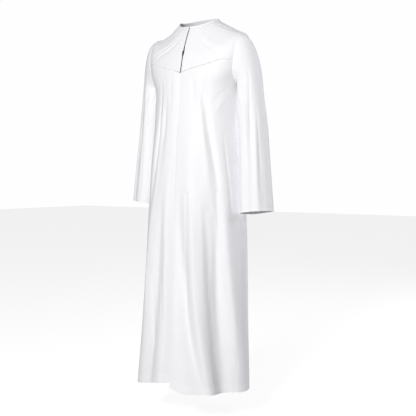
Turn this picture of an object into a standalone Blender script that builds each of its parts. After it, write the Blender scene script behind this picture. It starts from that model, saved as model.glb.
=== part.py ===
"""Thobe robe: a long collarless robe with a pointed front yoke, worn by nobody.

Metres, +Z up, the front faces -Y and the wearer's left is +X.
The origin lies between the shoulders, at the height that carries the cloth.
Every cloth panel is a stretch of one body surface or of one sleeve surface.
"""
import math

import bmesh
import bpy
import numpy as np
from mathutils import Matrix, Vector

# Driving sizes of the cloth, in metres
WALL = 0.0020
SEAM_GAP = 0.0003
HEM_DROP = 1.340
HEM_END = HEM_DROP
YOKE_POINT_DIP = 0.023
YOKE_POINT_POWER = 4.2
YOKE_RISE = 0.017
YOKE_RISE_FADE = 0.60
ZIP_END_DROP = 0.166
BINDING_WIDTH = 0.008
BINDING_THICKNESS = 0.0032
BINDING_PROUD = 0.0006
BINDING_UPRIGHT = 0.8
BINDING_SLOPE_STEP = 0.006
SLIT_HALF_GAP = 0.0012
SLIDER_HALF_GAP = 0.0040
SLIDER_DROP = 0.0985
SLIDER_SPREAD = 0.030
TAPE_WIDTH = 0.012
TAPE_THICKNESS = 0.0010
TAPE_TOOTH_GAP = 0.0022
TAPE_TOP_DROP = 0.012
TAPE_DEPTH_GAP = 0.0006

# Body rings from the neck to the hem. Drop is the depth at the centre front.
LEVEL_COLUMNS = ("drop", "side_x", "side_z", "front_y", "back_y", "back_z", "square")
LEVELS = (
    (0.008, 0.086, 0.020, -0.067, 0.060, 0.034, 2.0),
    (0.045, 0.130, 0.002, -0.084, 0.086, 0.006, 1.9),
    (0.085, 0.174, -0.020, -0.099, 0.102, -0.034, 2.0),
    (0.120, 0.208, -0.042, -0.110, 0.111, -0.080, 2.1),
    (0.150, 0.214, -0.088, -0.117, 0.116, -0.124, 2.3),
    (0.185, 0.204, -0.148, -0.122, 0.116, -0.170, 2.4),
    (0.240, 0.178, -0.220, -0.127, 0.112, -0.235, 2.4),
    (0.320, 0.175, -0.318, -0.134, 0.106, -0.320, 2.4),
    (0.500, 0.189, -0.500, -0.152, 0.091, -0.500, 2.4),
    (0.700, 0.201, -0.700, -0.169, 0.083, -0.700, 2.4),
    (0.900, 0.211, -0.900, -0.182, 0.080, -0.900, 2.3),
    (1.100, 0.219, -1.100, -0.199, 0.079, -1.100, 2.2),
    (1.340, 0.230, -1.340, -0.222, 0.078, -1.340, 2.2),
)

# The armhole is an oval on the body surface.
ARMHOLE_TOP_DROP = 0.114
ARMHOLE_BOTTOM_DROP = 0.238
ARMHOLE_TOP_ANGLE = 78.0
ARMHOLE_BOTTOM_ANGLE = 91.0
ARMHOLE_HALF_ANGLE = 20.0
ARMHOLE_ROWS = 11
YOKE_ARMHOLE_ROW = 5
NECK_SEAM_ANGLE = 56.0
HEM_SEAM_ANGLE = 71.0
CREST_POWER = 3.0
SIDE_SEAM_POWER = 0.7

# The shoulder crests sag a little between the neck and the armhole, the right one more.
CREST_EASE_LEFT = 0.003
CREST_EASE_RIGHT = 0.015
CREST_EASE_START = 0.008
CREST_EASE_FULL = 0.045
CREST_EASE_FADE = 0.066

# Folds of the body. A trough has a negative depth. Angles are degrees from the centre front,
# positive toward the wearer's left, at the fold's top, half way down it and at its end.
FOLD_COLUMNS = ("top", "end", "top_angle", "mid_angle", "end_angle", "full_drop", "depth", "top_width", "end_width")
FOLDS = (
    (0.18, 0.80, 26, 45, 60, 0.42, -0.011, 4, 8),
    (0.50, HEM_END, 41, 47, 60, 1.10, -0.034, 8, 13),
    (0.22, HEM_END, 14, 22, 42, 0.85, 0.013, 8, 11),
    (0.52, HEM_END, 7, 12, 37, 0.95, -0.016, 4, 9),
    (0.40, HEM_END, 58, 66, 78, 1.00, 0.012, 8, 10),
    (0.24, 0.92, -25, -32, -35, 0.46, -0.007, 4, 6),
    (0.26, 0.70, -17, -19, -22, 0.38, -0.004, 3, 5),
    (0.40, HEM_END, -30, -33, -40, 0.80, 0.009, 6, 9),
    (0.60, HEM_END, -12, -18, -22, 1.00, -0.012, 4, 8),
    (0.48, HEM_END, -8, -6, -5, 0.78, 0.008, 4, 6),
    (0.32, HEM_END, -52, -56, -62, 0.95, -0.014, 6, 10),
    (0.60, HEM_END, 92, 92, 92, 1.10, -0.008, 7, 8),
    (0.35, HEM_END, 120, 117, 112, 0.95, -0.020, 8, 11),
    (0.28, HEM_END, 138, 137, 134, 0.85, 0.013, 8, 11),
    (0.24, HEM_END, 158, 155, 156, 0.90, -0.018, 7, 11),
    (0.34, HEM_END, 179, 180, 176, 0.90, 0.012, 8, 11),
    (0.26, HEM_END, 202, 199, 200, 0.95, -0.020, 8, 12),
    (0.36, HEM_END, 224, 226, 224, 0.85, 0.013, 8, 11),
    (0.30, HEM_END, 242, 243, 248, 0.95, -0.016, 8, 11),
)

# The lap at the centre front: the left edge stands proud, the right front sinks behind it.
LAP_START_DROP = 0.22
LAP_DRIFT_START = 0.30
LAP_FULL_DROP = 1.15
TUCK_DEPTH = 0.0031
TUCK_START_ANGLE = -7.0
TUCK_END_ANGLE = 1.0
LAP_PROUD = 0.008
LAP_PROUD_WIDTH = 12.0
LAP_SINK = 0.030
LAP_SINK_ANGLE = 6.0
LAP_SINK_WIDTH = 15.0
LAP_EDGE_END_ANGLE = 6.0
LAP_TUCK = 14.0
RIGHT_HEM_LIFT = 0.009
RIGHT_HEM_LIFT_WIDTH = 60.0
RIGHT_HEM_RISE = 0.018
RIGHT_HEM_RISE_WIDTH = 26.0
LEFT_HEM_RISE = 0.018
LEFT_HEM_RISE_WIDTH = 9.0
LEFT_HEM_SAG = 0.006
LEFT_HEM_SAG_ANGLE = 60.0
LEFT_HEM_SAG_WIDTH = 18.0

# Sleeve rings: the wearer's left one. The turn swings the long axis back from +X.
SLEEVE_COLUMNS = ("drop", "centre_x", "centre_y", "half_long", "half_short", "turn", "tilt")
SLEEVES = (
    (0.208, 0.2245, 0.002, 0.0475, 0.0400, 58, 15),
    (0.260, 0.2290, 0.000, 0.0500, 0.0405, 48, 7),
    (0.340, 0.2360, -0.003, 0.053, 0.0410, 42, 5),
    (0.460, 0.2460, -0.009, 0.056, 0.0420, 38, 4),
    (0.570, 0.2550, -0.015, 0.059, 0.0420, 36, 4),
    (0.690, 0.2645, -0.020, 0.0625, 0.0430, 36, 4),
)
LEFT_CUFF_DROP = 0.681
RIGHT_CUFF_DROP = 0.655

SLEEVE_FOLD_COLUMNS = ("top_drop", "angle_top", "angle_end", "full_drop", "depth", "width")
SLEEVE_FOLDS = (
    (0.20, 286, 262, 0.40, -0.007, 20),
    (0.24, 250, 232, 0.45, 0.004, 20),
    (0.22, 330, 318, 0.42, 0.005, 22),
    (0.22, 60, 74, 0.42, -0.006, 22),
    (0.26, 128, 140, 0.46, -0.006, 24),
    (0.30, 10, 16, 0.50, -0.004, 20),
)

# The sleeve head leaves the armhole outward, most at its top, and bends down into the sleeve.
HEAD_DIP = 0.35
HEAD_START_PULL = 0.9
HEAD_LEAST_PULL = 0.35
HEAD_END_PULL = 0.8
HEAD_RUN_STEP = 0.02

# Steps for measuring a surface's direction, in degrees, metres and shares of the sleeve
BODY_TURN_STEP = 0.5
BODY_DROP_STEP = 0.002
SLEEVE_TURN_STEP = 3.0
SLEEVE_RUN_STEP = 0.01

# Mesh counts. The sleeve has twice as many sides as rows cross the armhole, so their edges meet.
SKIRT_ROWS = 21
SHOULDER_ROWS = 6
FRONT_COLUMNS = 19
BACK_COLUMNS = 24
LAP_TUCK_COLUMNS = 2
YOKE_DIP_FADE = 4.0
SLEEVE_ROWS = 19
SLEEVE_SIDES = 2 * ARMHOLE_ROWS
SLEEVE_HEAD_SHARE = 0.40
ARMHOLE_GAP = 0.0004
BINDING_ROWS = 3
BINDING_COLUMNS = 41
TAPE_ROWS = 12

# The zip's hard pieces
SLIDER_LENGTH = 0.0092
SLIDER_WIDTH = 0.0052
SLIDER_THICKNESS = 0.0024
EAR_THICKNESS = 0.0009
EAR_HEIGHT = 0.0030
EAR_LENGTH = 0.0034
EAR_SPACING = 0.0026
PIN_RADIUS = 0.0005
TAB_EYE_RADIUS = 0.0015
TAB_HOLE_RADIUS = 0.0008
TAB_LENGTH = 0.0150
TAB_WIDTH = 0.0044
TAB_THICKNESS = 0.0011
TAB_NECK_WIDTH = 0.0019
TAB_NECK_LENGTH = 0.0034
TAB_LEAN = 3.0
PIN_HEIGHT = 0.0019
PIN_UP = 0.0018
SLIDER_CENTRE_DEPTH = -0.0010
SLIDER_ROUNDING = 0.0006
EAR_SINK = 0.0004
TAB_ROUNDING = 0.0004
TAB_JOIN = 0.0005
ROUNDING_STEPS = 2
ROUND_SIDES = 20
SHARP_ANGLE = 60.0


def clear_scene():
    """Remove what the scene already holds."""
    for thing in list(bpy.data.objects):
        bpy.data.objects.remove(thing, do_unlink=True)


def make_collection(name):
    """Make a collection that the scene shows."""
    collection = bpy.data.collections.new(name)
    bpy.context.scene.collection.children.link(collection)
    return collection


def make_material(name, colour, roughness, metallic):
    """A plain Principled material."""
    material = bpy.data.materials.new(name)
    material.use_nodes = True
    shader = material.node_tree.nodes["Principled BSDF"]
    shader.inputs["Base Color"].default_value = (*colour, 1.0)
    shader.inputs["Roughness"].default_value = roughness
    shader.inputs["Metallic"].default_value = metallic
    return material


def smooth_step(low, high, value):
    """Rise softly from 0 at low to 1 at high."""
    share = min(max((value - low) / (high - low), 0.0), 1.0)
    return share * share * (3.0 - 2.0 * share)


def bell(offset, width):
    """A soft bump of height 1 that is a third high at one width from its middle."""
    return math.exp(-((offset / width) ** 2))


def mix(first, second, share):
    """Blend two numbers or points."""
    return first + (second - first) * share


def table_curves(columns, rows):
    """Turn a table into smooth curves over its first column."""
    table = np.array(rows)
    knots = table[:, 0]
    curves = {}
    for index, name in enumerate(columns[1:], start=1):
        curves[name] = (knots, table[:, index], np.gradient(table[:, index], knots))
    return curves


def read_curve(curve, place):
    """Read a smooth curve at one place, by the cubic between its two knots."""
    knots, values, slopes = curve
    place = min(max(place, knots[0]), knots[-1])
    index = min(int(np.searchsorted(knots, place, side="right")) - 1, len(knots) - 2)
    span = knots[index + 1] - knots[index]
    share = (place - knots[index]) / span
    square = share * share
    cube = square * share
    start = (2.0 * cube - 3.0 * square + 1.0) * values[index]
    start_slope = (cube - 2.0 * square + share) * span * slopes[index]
    end = (3.0 * square - 2.0 * cube) * values[index + 1]
    end_slope = (cube - square) * span * slopes[index + 1]
    return start + start_slope + end + end_slope


BODY_CURVES = table_curves(LEVEL_COLUMNS, LEVELS)
SLEEVE_CURVES = table_curves(SLEEVE_COLUMNS, SLEEVES)


def angle_gap(first, second):
    """The shorter way round between two angles, in degrees, with its sign."""
    return (first - second + 180.0) % 360.0 - 180.0


def fold_height(angle, drop):
    """How far the body's folds push the cloth out, or in where negative."""
    height = 0.0
    for row in FOLDS:
        fold = dict(zip(FOLD_COLUMNS, row))
        growth = smooth_step(fold["top"], fold["full_drop"], drop)
        run = min(max((drop - fold["top"]) / (fold["end"] - fold["top"]), 0.0), 1.0)
        bend = 2.0 * fold["mid_angle"] - 0.5 * (fold["top_angle"] + fold["end_angle"])
        middle = mix(mix(fold["top_angle"], bend, run), mix(bend, fold["end_angle"], run), run)
        width = mix(fold["top_width"], fold["end_width"], run)
        if fold["end"] < HEM_DROP:
            growth *= 1.0 - smooth_step(fold["full_drop"], fold["end"], drop)
        height += fold["depth"] * growth * bell(angle_gap(angle, middle), width)
    return height


def lap_height(angle, drop, side):
    """The left edge stands proud at the lap and the right front sinks behind it."""
    growth = smooth_step(LAP_START_DROP, LAP_FULL_DROP, drop)
    if side > 0:
        return LAP_PROUD * growth * bell(angle - LAP_EDGE_END_ANGLE, LAP_PROUD_WIDTH)
    tuck = TUCK_DEPTH * smooth_step(TUCK_START_ANGLE, TUCK_END_ANGLE, angle)
    return -tuck - LAP_SINK * growth * bell(angle - LAP_SINK_ANGLE, LAP_SINK_WIDTH)


def lap_edge_angle(drop):
    """The angle of the left front's free edge, which drifts to the wearer's left on the way down."""
    return LAP_EDGE_END_ANGLE * smooth_step(LAP_DRIFT_START, HEM_DROP, drop)


def crest_ease(across, drop):
    """How far the shoulder's crest sags at a drop, on the side that across points to."""
    ease = CREST_EASE_LEFT if across > 0.0 else CREST_EASE_RIGHT
    growth = smooth_step(CREST_EASE_START, CREST_EASE_FULL, drop)
    return ease * growth * (1.0 - smooth_step(CREST_EASE_FADE, ARMHOLE_TOP_DROP, drop))


def body_point(angle, drop, side=0):
    """A point of the body's outer surface. Side is 1 on the left front and -1 on the right."""
    ring = {name: read_curve(curve, drop) for name, curve in BODY_CURVES.items()}
    turn = math.radians(angle)
    across = math.sin(turn)
    along = math.cos(turn)
    power = 2.0 / ring["square"]
    x = math.copysign(abs(across) ** power, across) * ring["side_x"]
    reach = math.copysign(abs(along) ** power, along)
    front = along > 0.0
    y = ring["front_y"] * reach if front else -ring["back_y"] * reach
    side_share = abs(across) ** CREST_POWER
    z = mix(-drop if front else ring["back_z"], ring["side_z"] - crest_ease(across, drop), side_share)
    push = fold_height(angle, drop)
    if side:
        push += lap_height(angle, drop, side)
    depth = ring["front_y"] if front else ring["back_y"]
    outward = np.array((across / ring["side_x"], -along / abs(depth), 0.0))
    outward /= np.linalg.norm(outward)
    return np.array((x, y, z)) + outward * push


def body_normal(angle, drop, side=0):
    """The outward direction of the body's surface."""
    low = max(drop - BODY_DROP_STEP, LEVELS[0][0])
    around = body_point(angle + BODY_TURN_STEP, drop, side) - body_point(angle - BODY_TURN_STEP, drop, side)
    down = body_point(angle, drop + BODY_DROP_STEP, side) - body_point(angle, low, side)
    normal = np.cross(down, around)
    return normal / np.linalg.norm(normal)


def body_radius(angle, drop):
    """Metres of cloth for one degree round the body, near this angle."""
    return float(np.linalg.norm(body_point(angle + 0.5, drop) - body_point(angle - 0.5, drop)))


def armhole_edge(drop, end):
    """The angle of the armhole's edge at a drop: end is -1 for its front edge, 1 for its back."""
    share = (drop - ARMHOLE_TOP_DROP) / (ARMHOLE_BOTTOM_DROP - ARMHOLE_TOP_DROP)
    share = min(max(share, 0.0), 1.0)
    middle = mix(ARMHOLE_TOP_ANGLE, ARMHOLE_BOTTOM_ANGLE, share)
    half = ARMHOLE_HALF_ANGLE * math.sqrt(max(1.0 - (2.0 * share - 1.0) ** 2, 0.0))
    return middle + end * half


def seam_angle(drop, end):
    """Where a front or back panel ends at a drop: shoulder seam, armhole or side seam."""
    if drop < ARMHOLE_TOP_DROP:
        neck_drop = LEVELS[0][0]
        share = (drop - neck_drop) / (ARMHOLE_TOP_DROP - neck_drop)
        return mix(NECK_SEAM_ANGLE, ARMHOLE_TOP_ANGLE, share)
    if drop < ARMHOLE_BOTTOM_DROP:
        return armhole_edge(drop, end)
    share = (drop - ARMHOLE_BOTTOM_DROP) / (HEM_DROP - ARMHOLE_BOTTOM_DROP)
    return mix(ARMHOLE_BOTTOM_ANGLE, HEM_SEAM_ANGLE, min(share, 1.0) ** SIDE_SEAM_POWER)


def seam_inset(angle, drop):
    """Half a seam's gap, in degrees."""
    return 0.5 * SEAM_GAP / body_radius(angle, drop)


def slit_half_gap(drop):
    """Half the slit's width: it opens round the slider."""
    return SLIT_HALF_GAP + (SLIDER_HALF_GAP - SLIT_HALF_GAP) * bell(drop - SLIDER_DROP, 0.5 * SLIDER_SPREAD)


def yoke_dip(angle, outer):
    """How far the yoke seam lies below its drop at the armhole: up a little, then down to its point."""
    share = min(abs(angle) / outer, 1.0)
    rise = YOKE_RISE * (1.0 - smooth_step(YOKE_RISE_FADE, 1.0, share))
    return YOKE_POINT_DIP * (1.0 - share) ** YOKE_POINT_POWER - rise


def hem_drop(angle, side):
    """The hem is level, but for the fronts, which rise toward the lap."""
    if side > 0:
        rise = LEFT_HEM_RISE * bell(angle - LAP_EDGE_END_ANGLE, LEFT_HEM_RISE_WIDTH)
        return HEM_DROP - rise + LEFT_HEM_SAG * bell(angle - LEFT_HEM_SAG_ANGLE, LEFT_HEM_SAG_WIDTH)
    lift = RIGHT_HEM_LIFT * bell(angle, RIGHT_HEM_LIFT_WIDTH)
    return HEM_DROP - lift - RIGHT_HEM_RISE * bell(angle, RIGHT_HEM_RISE_WIDTH)


def armhole_drop(row):
    """The drop of one of the rows that cross the armhole, closer together at its ends."""
    share = 0.5 * (1.0 - math.cos(math.pi * row / ARMHOLE_ROWS))
    return mix(ARMHOLE_TOP_DROP, ARMHOLE_BOTTOM_DROP, share)


YOKE_SIDE_DROP = armhole_drop(YOKE_ARMHOLE_ROW)


def even_drops(top, bottom, count):
    """Drops of evenly spaced rows, without the first."""
    return [mix(top, bottom, index / count) for index in range(1, count + 1)]


def skirt_drops():
    """Rows below the armhole, which the fronts and the back share."""
    return even_drops(ARMHOLE_BOTTOM_DROP, HEM_DROP, SKIRT_ROWS)


def cloth_wall(name, outer, inner, material, collection, closed=False):
    """A closed wall between an outer and an inner sheet of points, rows from top to bottom."""
    count = len(outer[0])
    last = count if closed else count - 1
    bm = bmesh.new()
    outside = [[bm.verts.new(point) for point in row] for row in outer]
    inside = [[bm.verts.new(point) for point in row] for row in inner]
    for row in range(len(outer) - 1):
        for index in range(last):
            following = (index + 1) % count
            corners = (row, index), (row + 1, index), (row + 1, following), (row, following)
            bm.faces.new([outside[line][place] for line, place in corners])
            bm.faces.new([inside[line][place] for line, place in reversed(corners)])
    for index in range(last):
        following = (index + 1) % count
        bm.faces.new((outside[0][following], inside[0][following], inside[0][index], outside[0][index]))
        bm.faces.new((outside[-1][index], inside[-1][index], inside[-1][following], outside[-1][following]))
    if not closed:
        for row in range(len(outer) - 1):
            first = (outside[row][0], inside[row][0], inside[row + 1][0], outside[row + 1][0])
            far = (outside[row + 1][-1], inside[row + 1][-1], inside[row][-1], outside[row][-1])
            bm.faces.new(first)
            bm.faces.new(far)
    mesh = bpy.data.meshes.new(name)
    bm.to_mesh(mesh)
    bm.free()
    mesh.shade_smooth()
    mesh.set_sharp_from_angle(angle=math.radians(SHARP_ANGLE))
    piece = bpy.data.objects.new(name, mesh)
    piece.data.materials.append(material)
    collection.objects.link(piece)
    return piece


def body_piece(name, grid, side, material, collection, thickness=WALL, depth=0.0):
    """Make a piece of the body's surface from rows of angle and drop, from right to left."""
    outer = []
    inner = []
    for row in grid:
        points = [body_point(angle, drop, side) for angle, drop in row]
        normals = [body_normal(angle, drop, side) for angle, drop in row]
        outer.append([point - normal * depth for point, normal in zip(points, normals)])
        inner.append([point - normal * (depth + thickness) for point, normal in zip(points, normals)])
    return cloth_wall(name, outer, inner, material, collection)


def mirrored(row, side):
    """Turn a row that runs out from the centre front so that it runs from right to left."""
    if side > 0:
        return row
    return [(-angle, drop) for angle, drop in reversed(row)]


def front_panel(side, material, collection):
    """One front, from under the yoke seam to the hem."""
    bases = [armhole_drop(row) for row in range(YOKE_ARMHOLE_ROW, ARMHOLE_ROWS + 1)] + skirt_drops()
    grid = []
    for base in bases:
        run = (base - YOKE_SIDE_DROP) / (HEM_DROP - YOKE_SIDE_DROP)
        outer = seam_angle(base, -1)
        outer -= seam_inset(outer, base)
        edge = lap_edge_angle(base)
        angles = [mix(side * edge, outer, column / (FRONT_COLUMNS - 1)) for column in range(FRONT_COLUMNS)]
        if side < 0:
            tucks = range(LAP_TUCK_COLUMNS, 0, -1)
            angles = [-edge - LAP_TUCK * column / LAP_TUCK_COLUMNS for column in tucks] + angles
        row = []
        for angle in angles:
            dip = yoke_dip(angle, outer) + SEAM_GAP
            drop = base + dip * max(1.0 - run * YOKE_DIP_FADE, 0.0)
            drop -= (HEM_DROP - hem_drop(side * angle, side)) * run ** 3
            row.append((angle, drop))
        grid.append(mirrored(row, side))
    name = "front_left" if side > 0 else "front_right"
    return body_piece(name, grid, side, material, collection)


def yoke_panel(side, material, collection):
    """One front yoke, from the neck to the yoke seam."""
    top = LEVELS[0][0] + 0.5 * SEAM_GAP
    bases = [top] + even_drops(top, ARMHOLE_TOP_DROP, SHOULDER_ROWS)
    bases += [armhole_drop(row) for row in range(1, YOKE_ARMHOLE_ROW + 1)]
    grid = []
    for base in bases:
        run = (base - top) / (YOKE_SIDE_DROP - top)
        centre_drop = base + (YOKE_POINT_DIP - YOKE_RISE) * run ** 2
        inner = slit_half_gap(centre_drop) / body_radius(0.0, centre_drop)
        outer = seam_angle(base, -1)
        outer -= seam_inset(outer, base)
        row = []
        for column in range(FRONT_COLUMNS):
            angle = mix(inner, outer, column / (FRONT_COLUMNS - 1))
            dip = yoke_dip(angle, outer) - 0.5 * SEAM_GAP
            row.append((angle, base + dip * run ** 2))
        grid.append(mirrored(row, side))
    name = "yoke_front_left" if side > 0 else "yoke_front_right"
    return body_piece(name, grid, 0, material, collection)


def back_panel(material, collection):
    """The back, from one shoulder and side seam round to the other."""
    top = LEVELS[0][0] + 0.5 * SEAM_GAP
    bases = [top] + even_drops(top, ARMHOLE_TOP_DROP, SHOULDER_ROWS)
    bases += [armhole_drop(row) for row in range(1, ARMHOLE_ROWS + 1)] + skirt_drops()
    grid = []
    for drop in bases:
        start = seam_angle(drop, 1)
        start += seam_inset(start, drop)
        row = []
        for column in range(BACK_COLUMNS):
            row.append((mix(start, 360.0 - start, column / (BACK_COLUMNS - 1)), drop))
        grid.append(row)
    return body_piece("back", grid, 0, material, collection)


def armhole_point(turn, side):
    """A point of the armhole's edge: turn 0 is its top, 90 its front and 270 its back."""
    share = 0.5 * (1.0 - math.cos(math.radians(turn)))
    drop = mix(ARMHOLE_TOP_DROP, ARMHOLE_BOTTOM_DROP, share)
    middle = mix(ARMHOLE_TOP_ANGLE, ARMHOLE_BOTTOM_ANGLE, share)
    angle = middle - ARMHOLE_HALF_ANGLE * math.sin(math.radians(turn))
    return body_point(side * angle, drop)


def sleeve_push(turn, drop):
    """How far the sleeve's folds push its cloth out, or in where negative."""
    height = 0.0
    for row in SLEEVE_FOLDS:
        fold = dict(zip(SLEEVE_FOLD_COLUMNS, row))
        growth = smooth_step(fold["top_drop"], fold["full_drop"], drop)
        run = min(max((drop - fold["top_drop"]) / (LEFT_CUFF_DROP - fold["top_drop"]), 0.0), 1.0)
        middle = mix(fold["angle_top"], fold["angle_end"], run)
        height += fold["depth"] * growth * bell(angle_gap(turn, middle), fold["width"])
    return height


def sleeve_ring_point(turn, drop):
    """A point of the wearer's left sleeve: turn 0 faces out, 90 faces the front."""
    ring = {name: read_curve(curve, drop) for name, curve in SLEEVE_CURVES.items()}
    axis_turn = math.radians(ring["turn"])
    way = math.radians(turn)
    direction = np.array((math.cos(way), -math.sin(way)))
    long_axis = np.array((math.cos(axis_turn), math.sin(axis_turn)))
    short_axis = np.array((-math.sin(axis_turn), math.cos(axis_turn)))
    along = float(direction @ long_axis)
    aside = float(direction @ short_axis)
    radius = 1.0 / math.sqrt((along / ring["half_long"]) ** 2 + (aside / ring["half_short"]) ** 2)
    radius += sleeve_push(turn, drop)
    x = ring["centre_x"] + direction[0] * radius
    y = ring["centre_y"] + direction[1] * radius
    z = -drop + math.tan(math.radians(ring["tilt"])) * direction[0] * radius
    return np.array((x, y, z))


def sleeve_head_point(turn, share):
    """A point between the armhole's edge and the first full ring of the sleeve."""
    edge = armhole_point(turn, 1)
    ring = sleeve_ring_point(turn, SLEEVES[0][0])
    below = sleeve_ring_point(turn, SLEEVES[0][0] + HEAD_RUN_STEP)
    outward = np.array((1.0, 0.0, -HEAD_DIP))
    outward /= np.linalg.norm(outward)
    gap = float(np.linalg.norm(ring - edge))
    pull = mix(HEAD_LEAST_PULL, 1.0, max(math.cos(math.radians(turn)), 0.0))
    start_pull = outward * gap * HEAD_START_PULL * pull
    end_pull = (below - ring) / np.linalg.norm(below - ring) * gap * HEAD_END_PULL
    square = share * share
    cube = square * share
    point = (2.0 * cube - 3.0 * square + 1.0) * edge
    point = point + (cube - 2.0 * square + share) * start_pull
    point = point + (3.0 * square - 2.0 * cube) * ring
    point = point + (cube - square) * end_pull
    return point + outward * ARMHOLE_GAP * (1.0 - share)


def sleeve_point(turn, run, cuff_drop):
    """A point of the left sleeve, from the armhole at run 0 to the cuff at 1."""
    if run < SLEEVE_HEAD_SHARE:
        return sleeve_head_point(turn, run / SLEEVE_HEAD_SHARE)
    share = (run - SLEEVE_HEAD_SHARE) / (1.0 - SLEEVE_HEAD_SHARE)
    return sleeve_ring_point(turn, mix(SLEEVES[0][0], cuff_drop, share))


def sleeve_normal(turn, run, cuff_drop):
    """The outward direction of the sleeve's surface."""
    far_side = sleeve_point(turn + SLEEVE_TURN_STEP, run, cuff_drop)
    around = far_side - sleeve_point(turn - SLEEVE_TURN_STEP, run, cuff_drop)
    low = max(run - SLEEVE_RUN_STEP, 0.0)
    high = min(run + SLEEVE_RUN_STEP, 1.0)
    down = sleeve_point(turn, high, cuff_drop) - sleeve_point(turn, low, cuff_drop)
    normal = np.cross(around, down)
    return normal / np.linalg.norm(normal)


def sleeve(side, material, collection):
    """A sleeve, from the armhole to the cuff. The right one is the left one turned over."""
    cuff_drop = LEFT_CUFF_DROP if side > 0 else RIGHT_CUFF_DROP
    turns = [360.0 * step / SLEEVE_SIDES for step in range(SLEEVE_SIDES)]
    if side > 0:
        turns.reverse()
    outer = []
    inner = []
    flip = np.array((side, 1.0, 1.0))
    for index in range(SLEEVE_ROWS + 1):
        run = index / SLEEVE_ROWS
        points = [sleeve_point(turn, run, cuff_drop) for turn in turns]
        normals = [sleeve_normal(turn, run, cuff_drop) for turn in turns]
        outer.append([point * flip for point in points])
        inner.append([(point - normal * WALL) * flip for point, normal in zip(points, normals)])
    name = "sleeve_left" if side > 0 else "sleeve_right"
    return cloth_wall(name, outer, inner, material, collection, closed=True)


def neck_binding(material, collection):
    """The narrow strip round the neck, open at the slit and a little thicker than the cloth."""
    neck_drop = LEVELS[0][0]
    start = SLIT_HALF_GAP / body_radius(0.0, neck_drop)
    outer = []
    inner = []
    for row_index in range(BINDING_ROWS):
        rise = mix(BINDING_WIDTH, SEAM_GAP, row_index / (BINDING_ROWS - 1))
        outer.append([])
        inner.append([])
        for column in range(BINDING_COLUMNS):
            angle = mix(start, 360.0 - start, column / (BINDING_COLUMNS - 1))
            edge = body_point(angle, neck_drop)
            below = body_point(angle, neck_drop + BINDING_SLOPE_STEP)
            upward = (edge - below) / np.linalg.norm(edge - below)
            upward = upward + np.array((0.0, 0.0, BINDING_UPRIGHT))
            upward /= np.linalg.norm(upward)
            outward = body_normal(angle, neck_drop + BODY_DROP_STEP)
            point = edge + upward * rise + outward * BINDING_PROUD
            outer[-1].append(point)
            inner[-1].append(point - outward * BINDING_THICKNESS)
    return cloth_wall("neck_binding", outer, inner, material, collection)


def zip_tape(side, material, collection):
    """One zip tape, just inside the yoke's edge."""
    grid = []
    for row_index in range(TAPE_ROWS):
        drop = mix(TAPE_TOP_DROP, ZIP_END_DROP, row_index / (TAPE_ROWS - 1))
        row = []
        for reach in (TAPE_TOOTH_GAP, TAPE_TOOTH_GAP + 0.5 * TAPE_WIDTH, TAPE_TOOTH_GAP + TAPE_WIDTH):
            row.append((reach / body_radius(0.0, drop), drop))
        grid.append(mirrored(row, side))
    name = "zip_tape_left" if side > 0 else "zip_tape_right"
    depth = WALL + TAPE_DEPTH_GAP
    return body_piece(name, grid, 0, material, collection, TAPE_THICKNESS, depth)


def zip_frame():
    """Where the slider sits: X across, Y up along the slit and Z out of the cloth."""
    place = Vector(body_point(0.0, SLIDER_DROP))
    outward = Vector(body_normal(0.0, SLIDER_DROP))
    across = Vector((1.0, 0.0, 0.0))
    upward = outward.cross(across).normalized()
    outward = across.cross(upward).normalized()
    frame = Matrix((across, upward, outward)).transposed().to_4x4()
    frame.translation = place
    return frame


def box_object(name, size, centre, collection):
    """A box with its faces along the axes."""
    mesh = bpy.data.meshes.new(name)
    bm = bmesh.new()
    bmesh.ops.create_cube(bm, size=1.0)
    bmesh.ops.scale(bm, vec=size, verts=bm.verts)
    bmesh.ops.translate(bm, vec=centre, verts=bm.verts)
    bm.to_mesh(mesh)
    bm.free()
    piece = bpy.data.objects.new(name, mesh)
    collection.objects.link(piece)
    return piece


def rod_object(name, radius, length, centre, collection):
    """A round rod along X."""
    mesh = bpy.data.meshes.new(name)
    bm = bmesh.new()
    bmesh.ops.create_cone(
        bm, cap_ends=True, segments=ROUND_SIDES, radius1=radius, radius2=radius, depth=length
    )
    bmesh.ops.rotate(bm, matrix=Matrix.Rotation(math.radians(90.0), 3, "Y"), verts=bm.verts)
    bmesh.ops.translate(bm, vec=centre, verts=bm.verts)
    bm.to_mesh(mesh)
    bm.free()
    piece = bpy.data.objects.new(name, mesh)
    collection.objects.link(piece)
    return piece


def combine(piece, tool, operation):
    """Join a tool to a piece or cut it away."""
    step = piece.modifiers.new(tool.name, "BOOLEAN")
    step.operation = operation
    step.solver = "EXACT"
    step.object = tool
    tool.hide_render = True
    tool.display_type = "WIRE"


def zip_slider(frame, material, collection, tools):
    """The slider's body with two ears and the pin between them."""
    body = box_object("zip_slider", (SLIDER_WIDTH, SLIDER_LENGTH, SLIDER_THICKNESS), (0.0, 0.0, 0.0), collection)
    rounding = body.modifiers.new("rounding", "BEVEL")
    rounding.width = SLIDER_ROUNDING
    rounding.segments = ROUNDING_STEPS
    top = 0.5 * SLIDER_THICKNESS
    for side in (-1, 1):
        middle = side * 0.5 * (EAR_SPACING + EAR_THICKNESS)
        size = (EAR_THICKNESS, EAR_LENGTH, EAR_HEIGHT + EAR_SINK)
        place = (middle, PIN_UP, top + 0.5 * (EAR_HEIGHT - EAR_SINK))
        ear = box_object(f"ear_{side}", size, place, tools)
        combine(body, ear, "UNION")
    pin_length = EAR_SPACING + EAR_THICKNESS
    pin = rod_object("pin", PIN_RADIUS, pin_length, (0.0, PIN_UP, top + PIN_HEIGHT), tools)
    combine(body, pin, "UNION")
    body.data.materials.append(material)
    local = Matrix.Translation((0.0, 0.0, SLIDER_CENTRE_DEPTH))
    for thing in [body, *tools.objects]:
        thing.matrix_world = frame @ local
    return body


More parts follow.
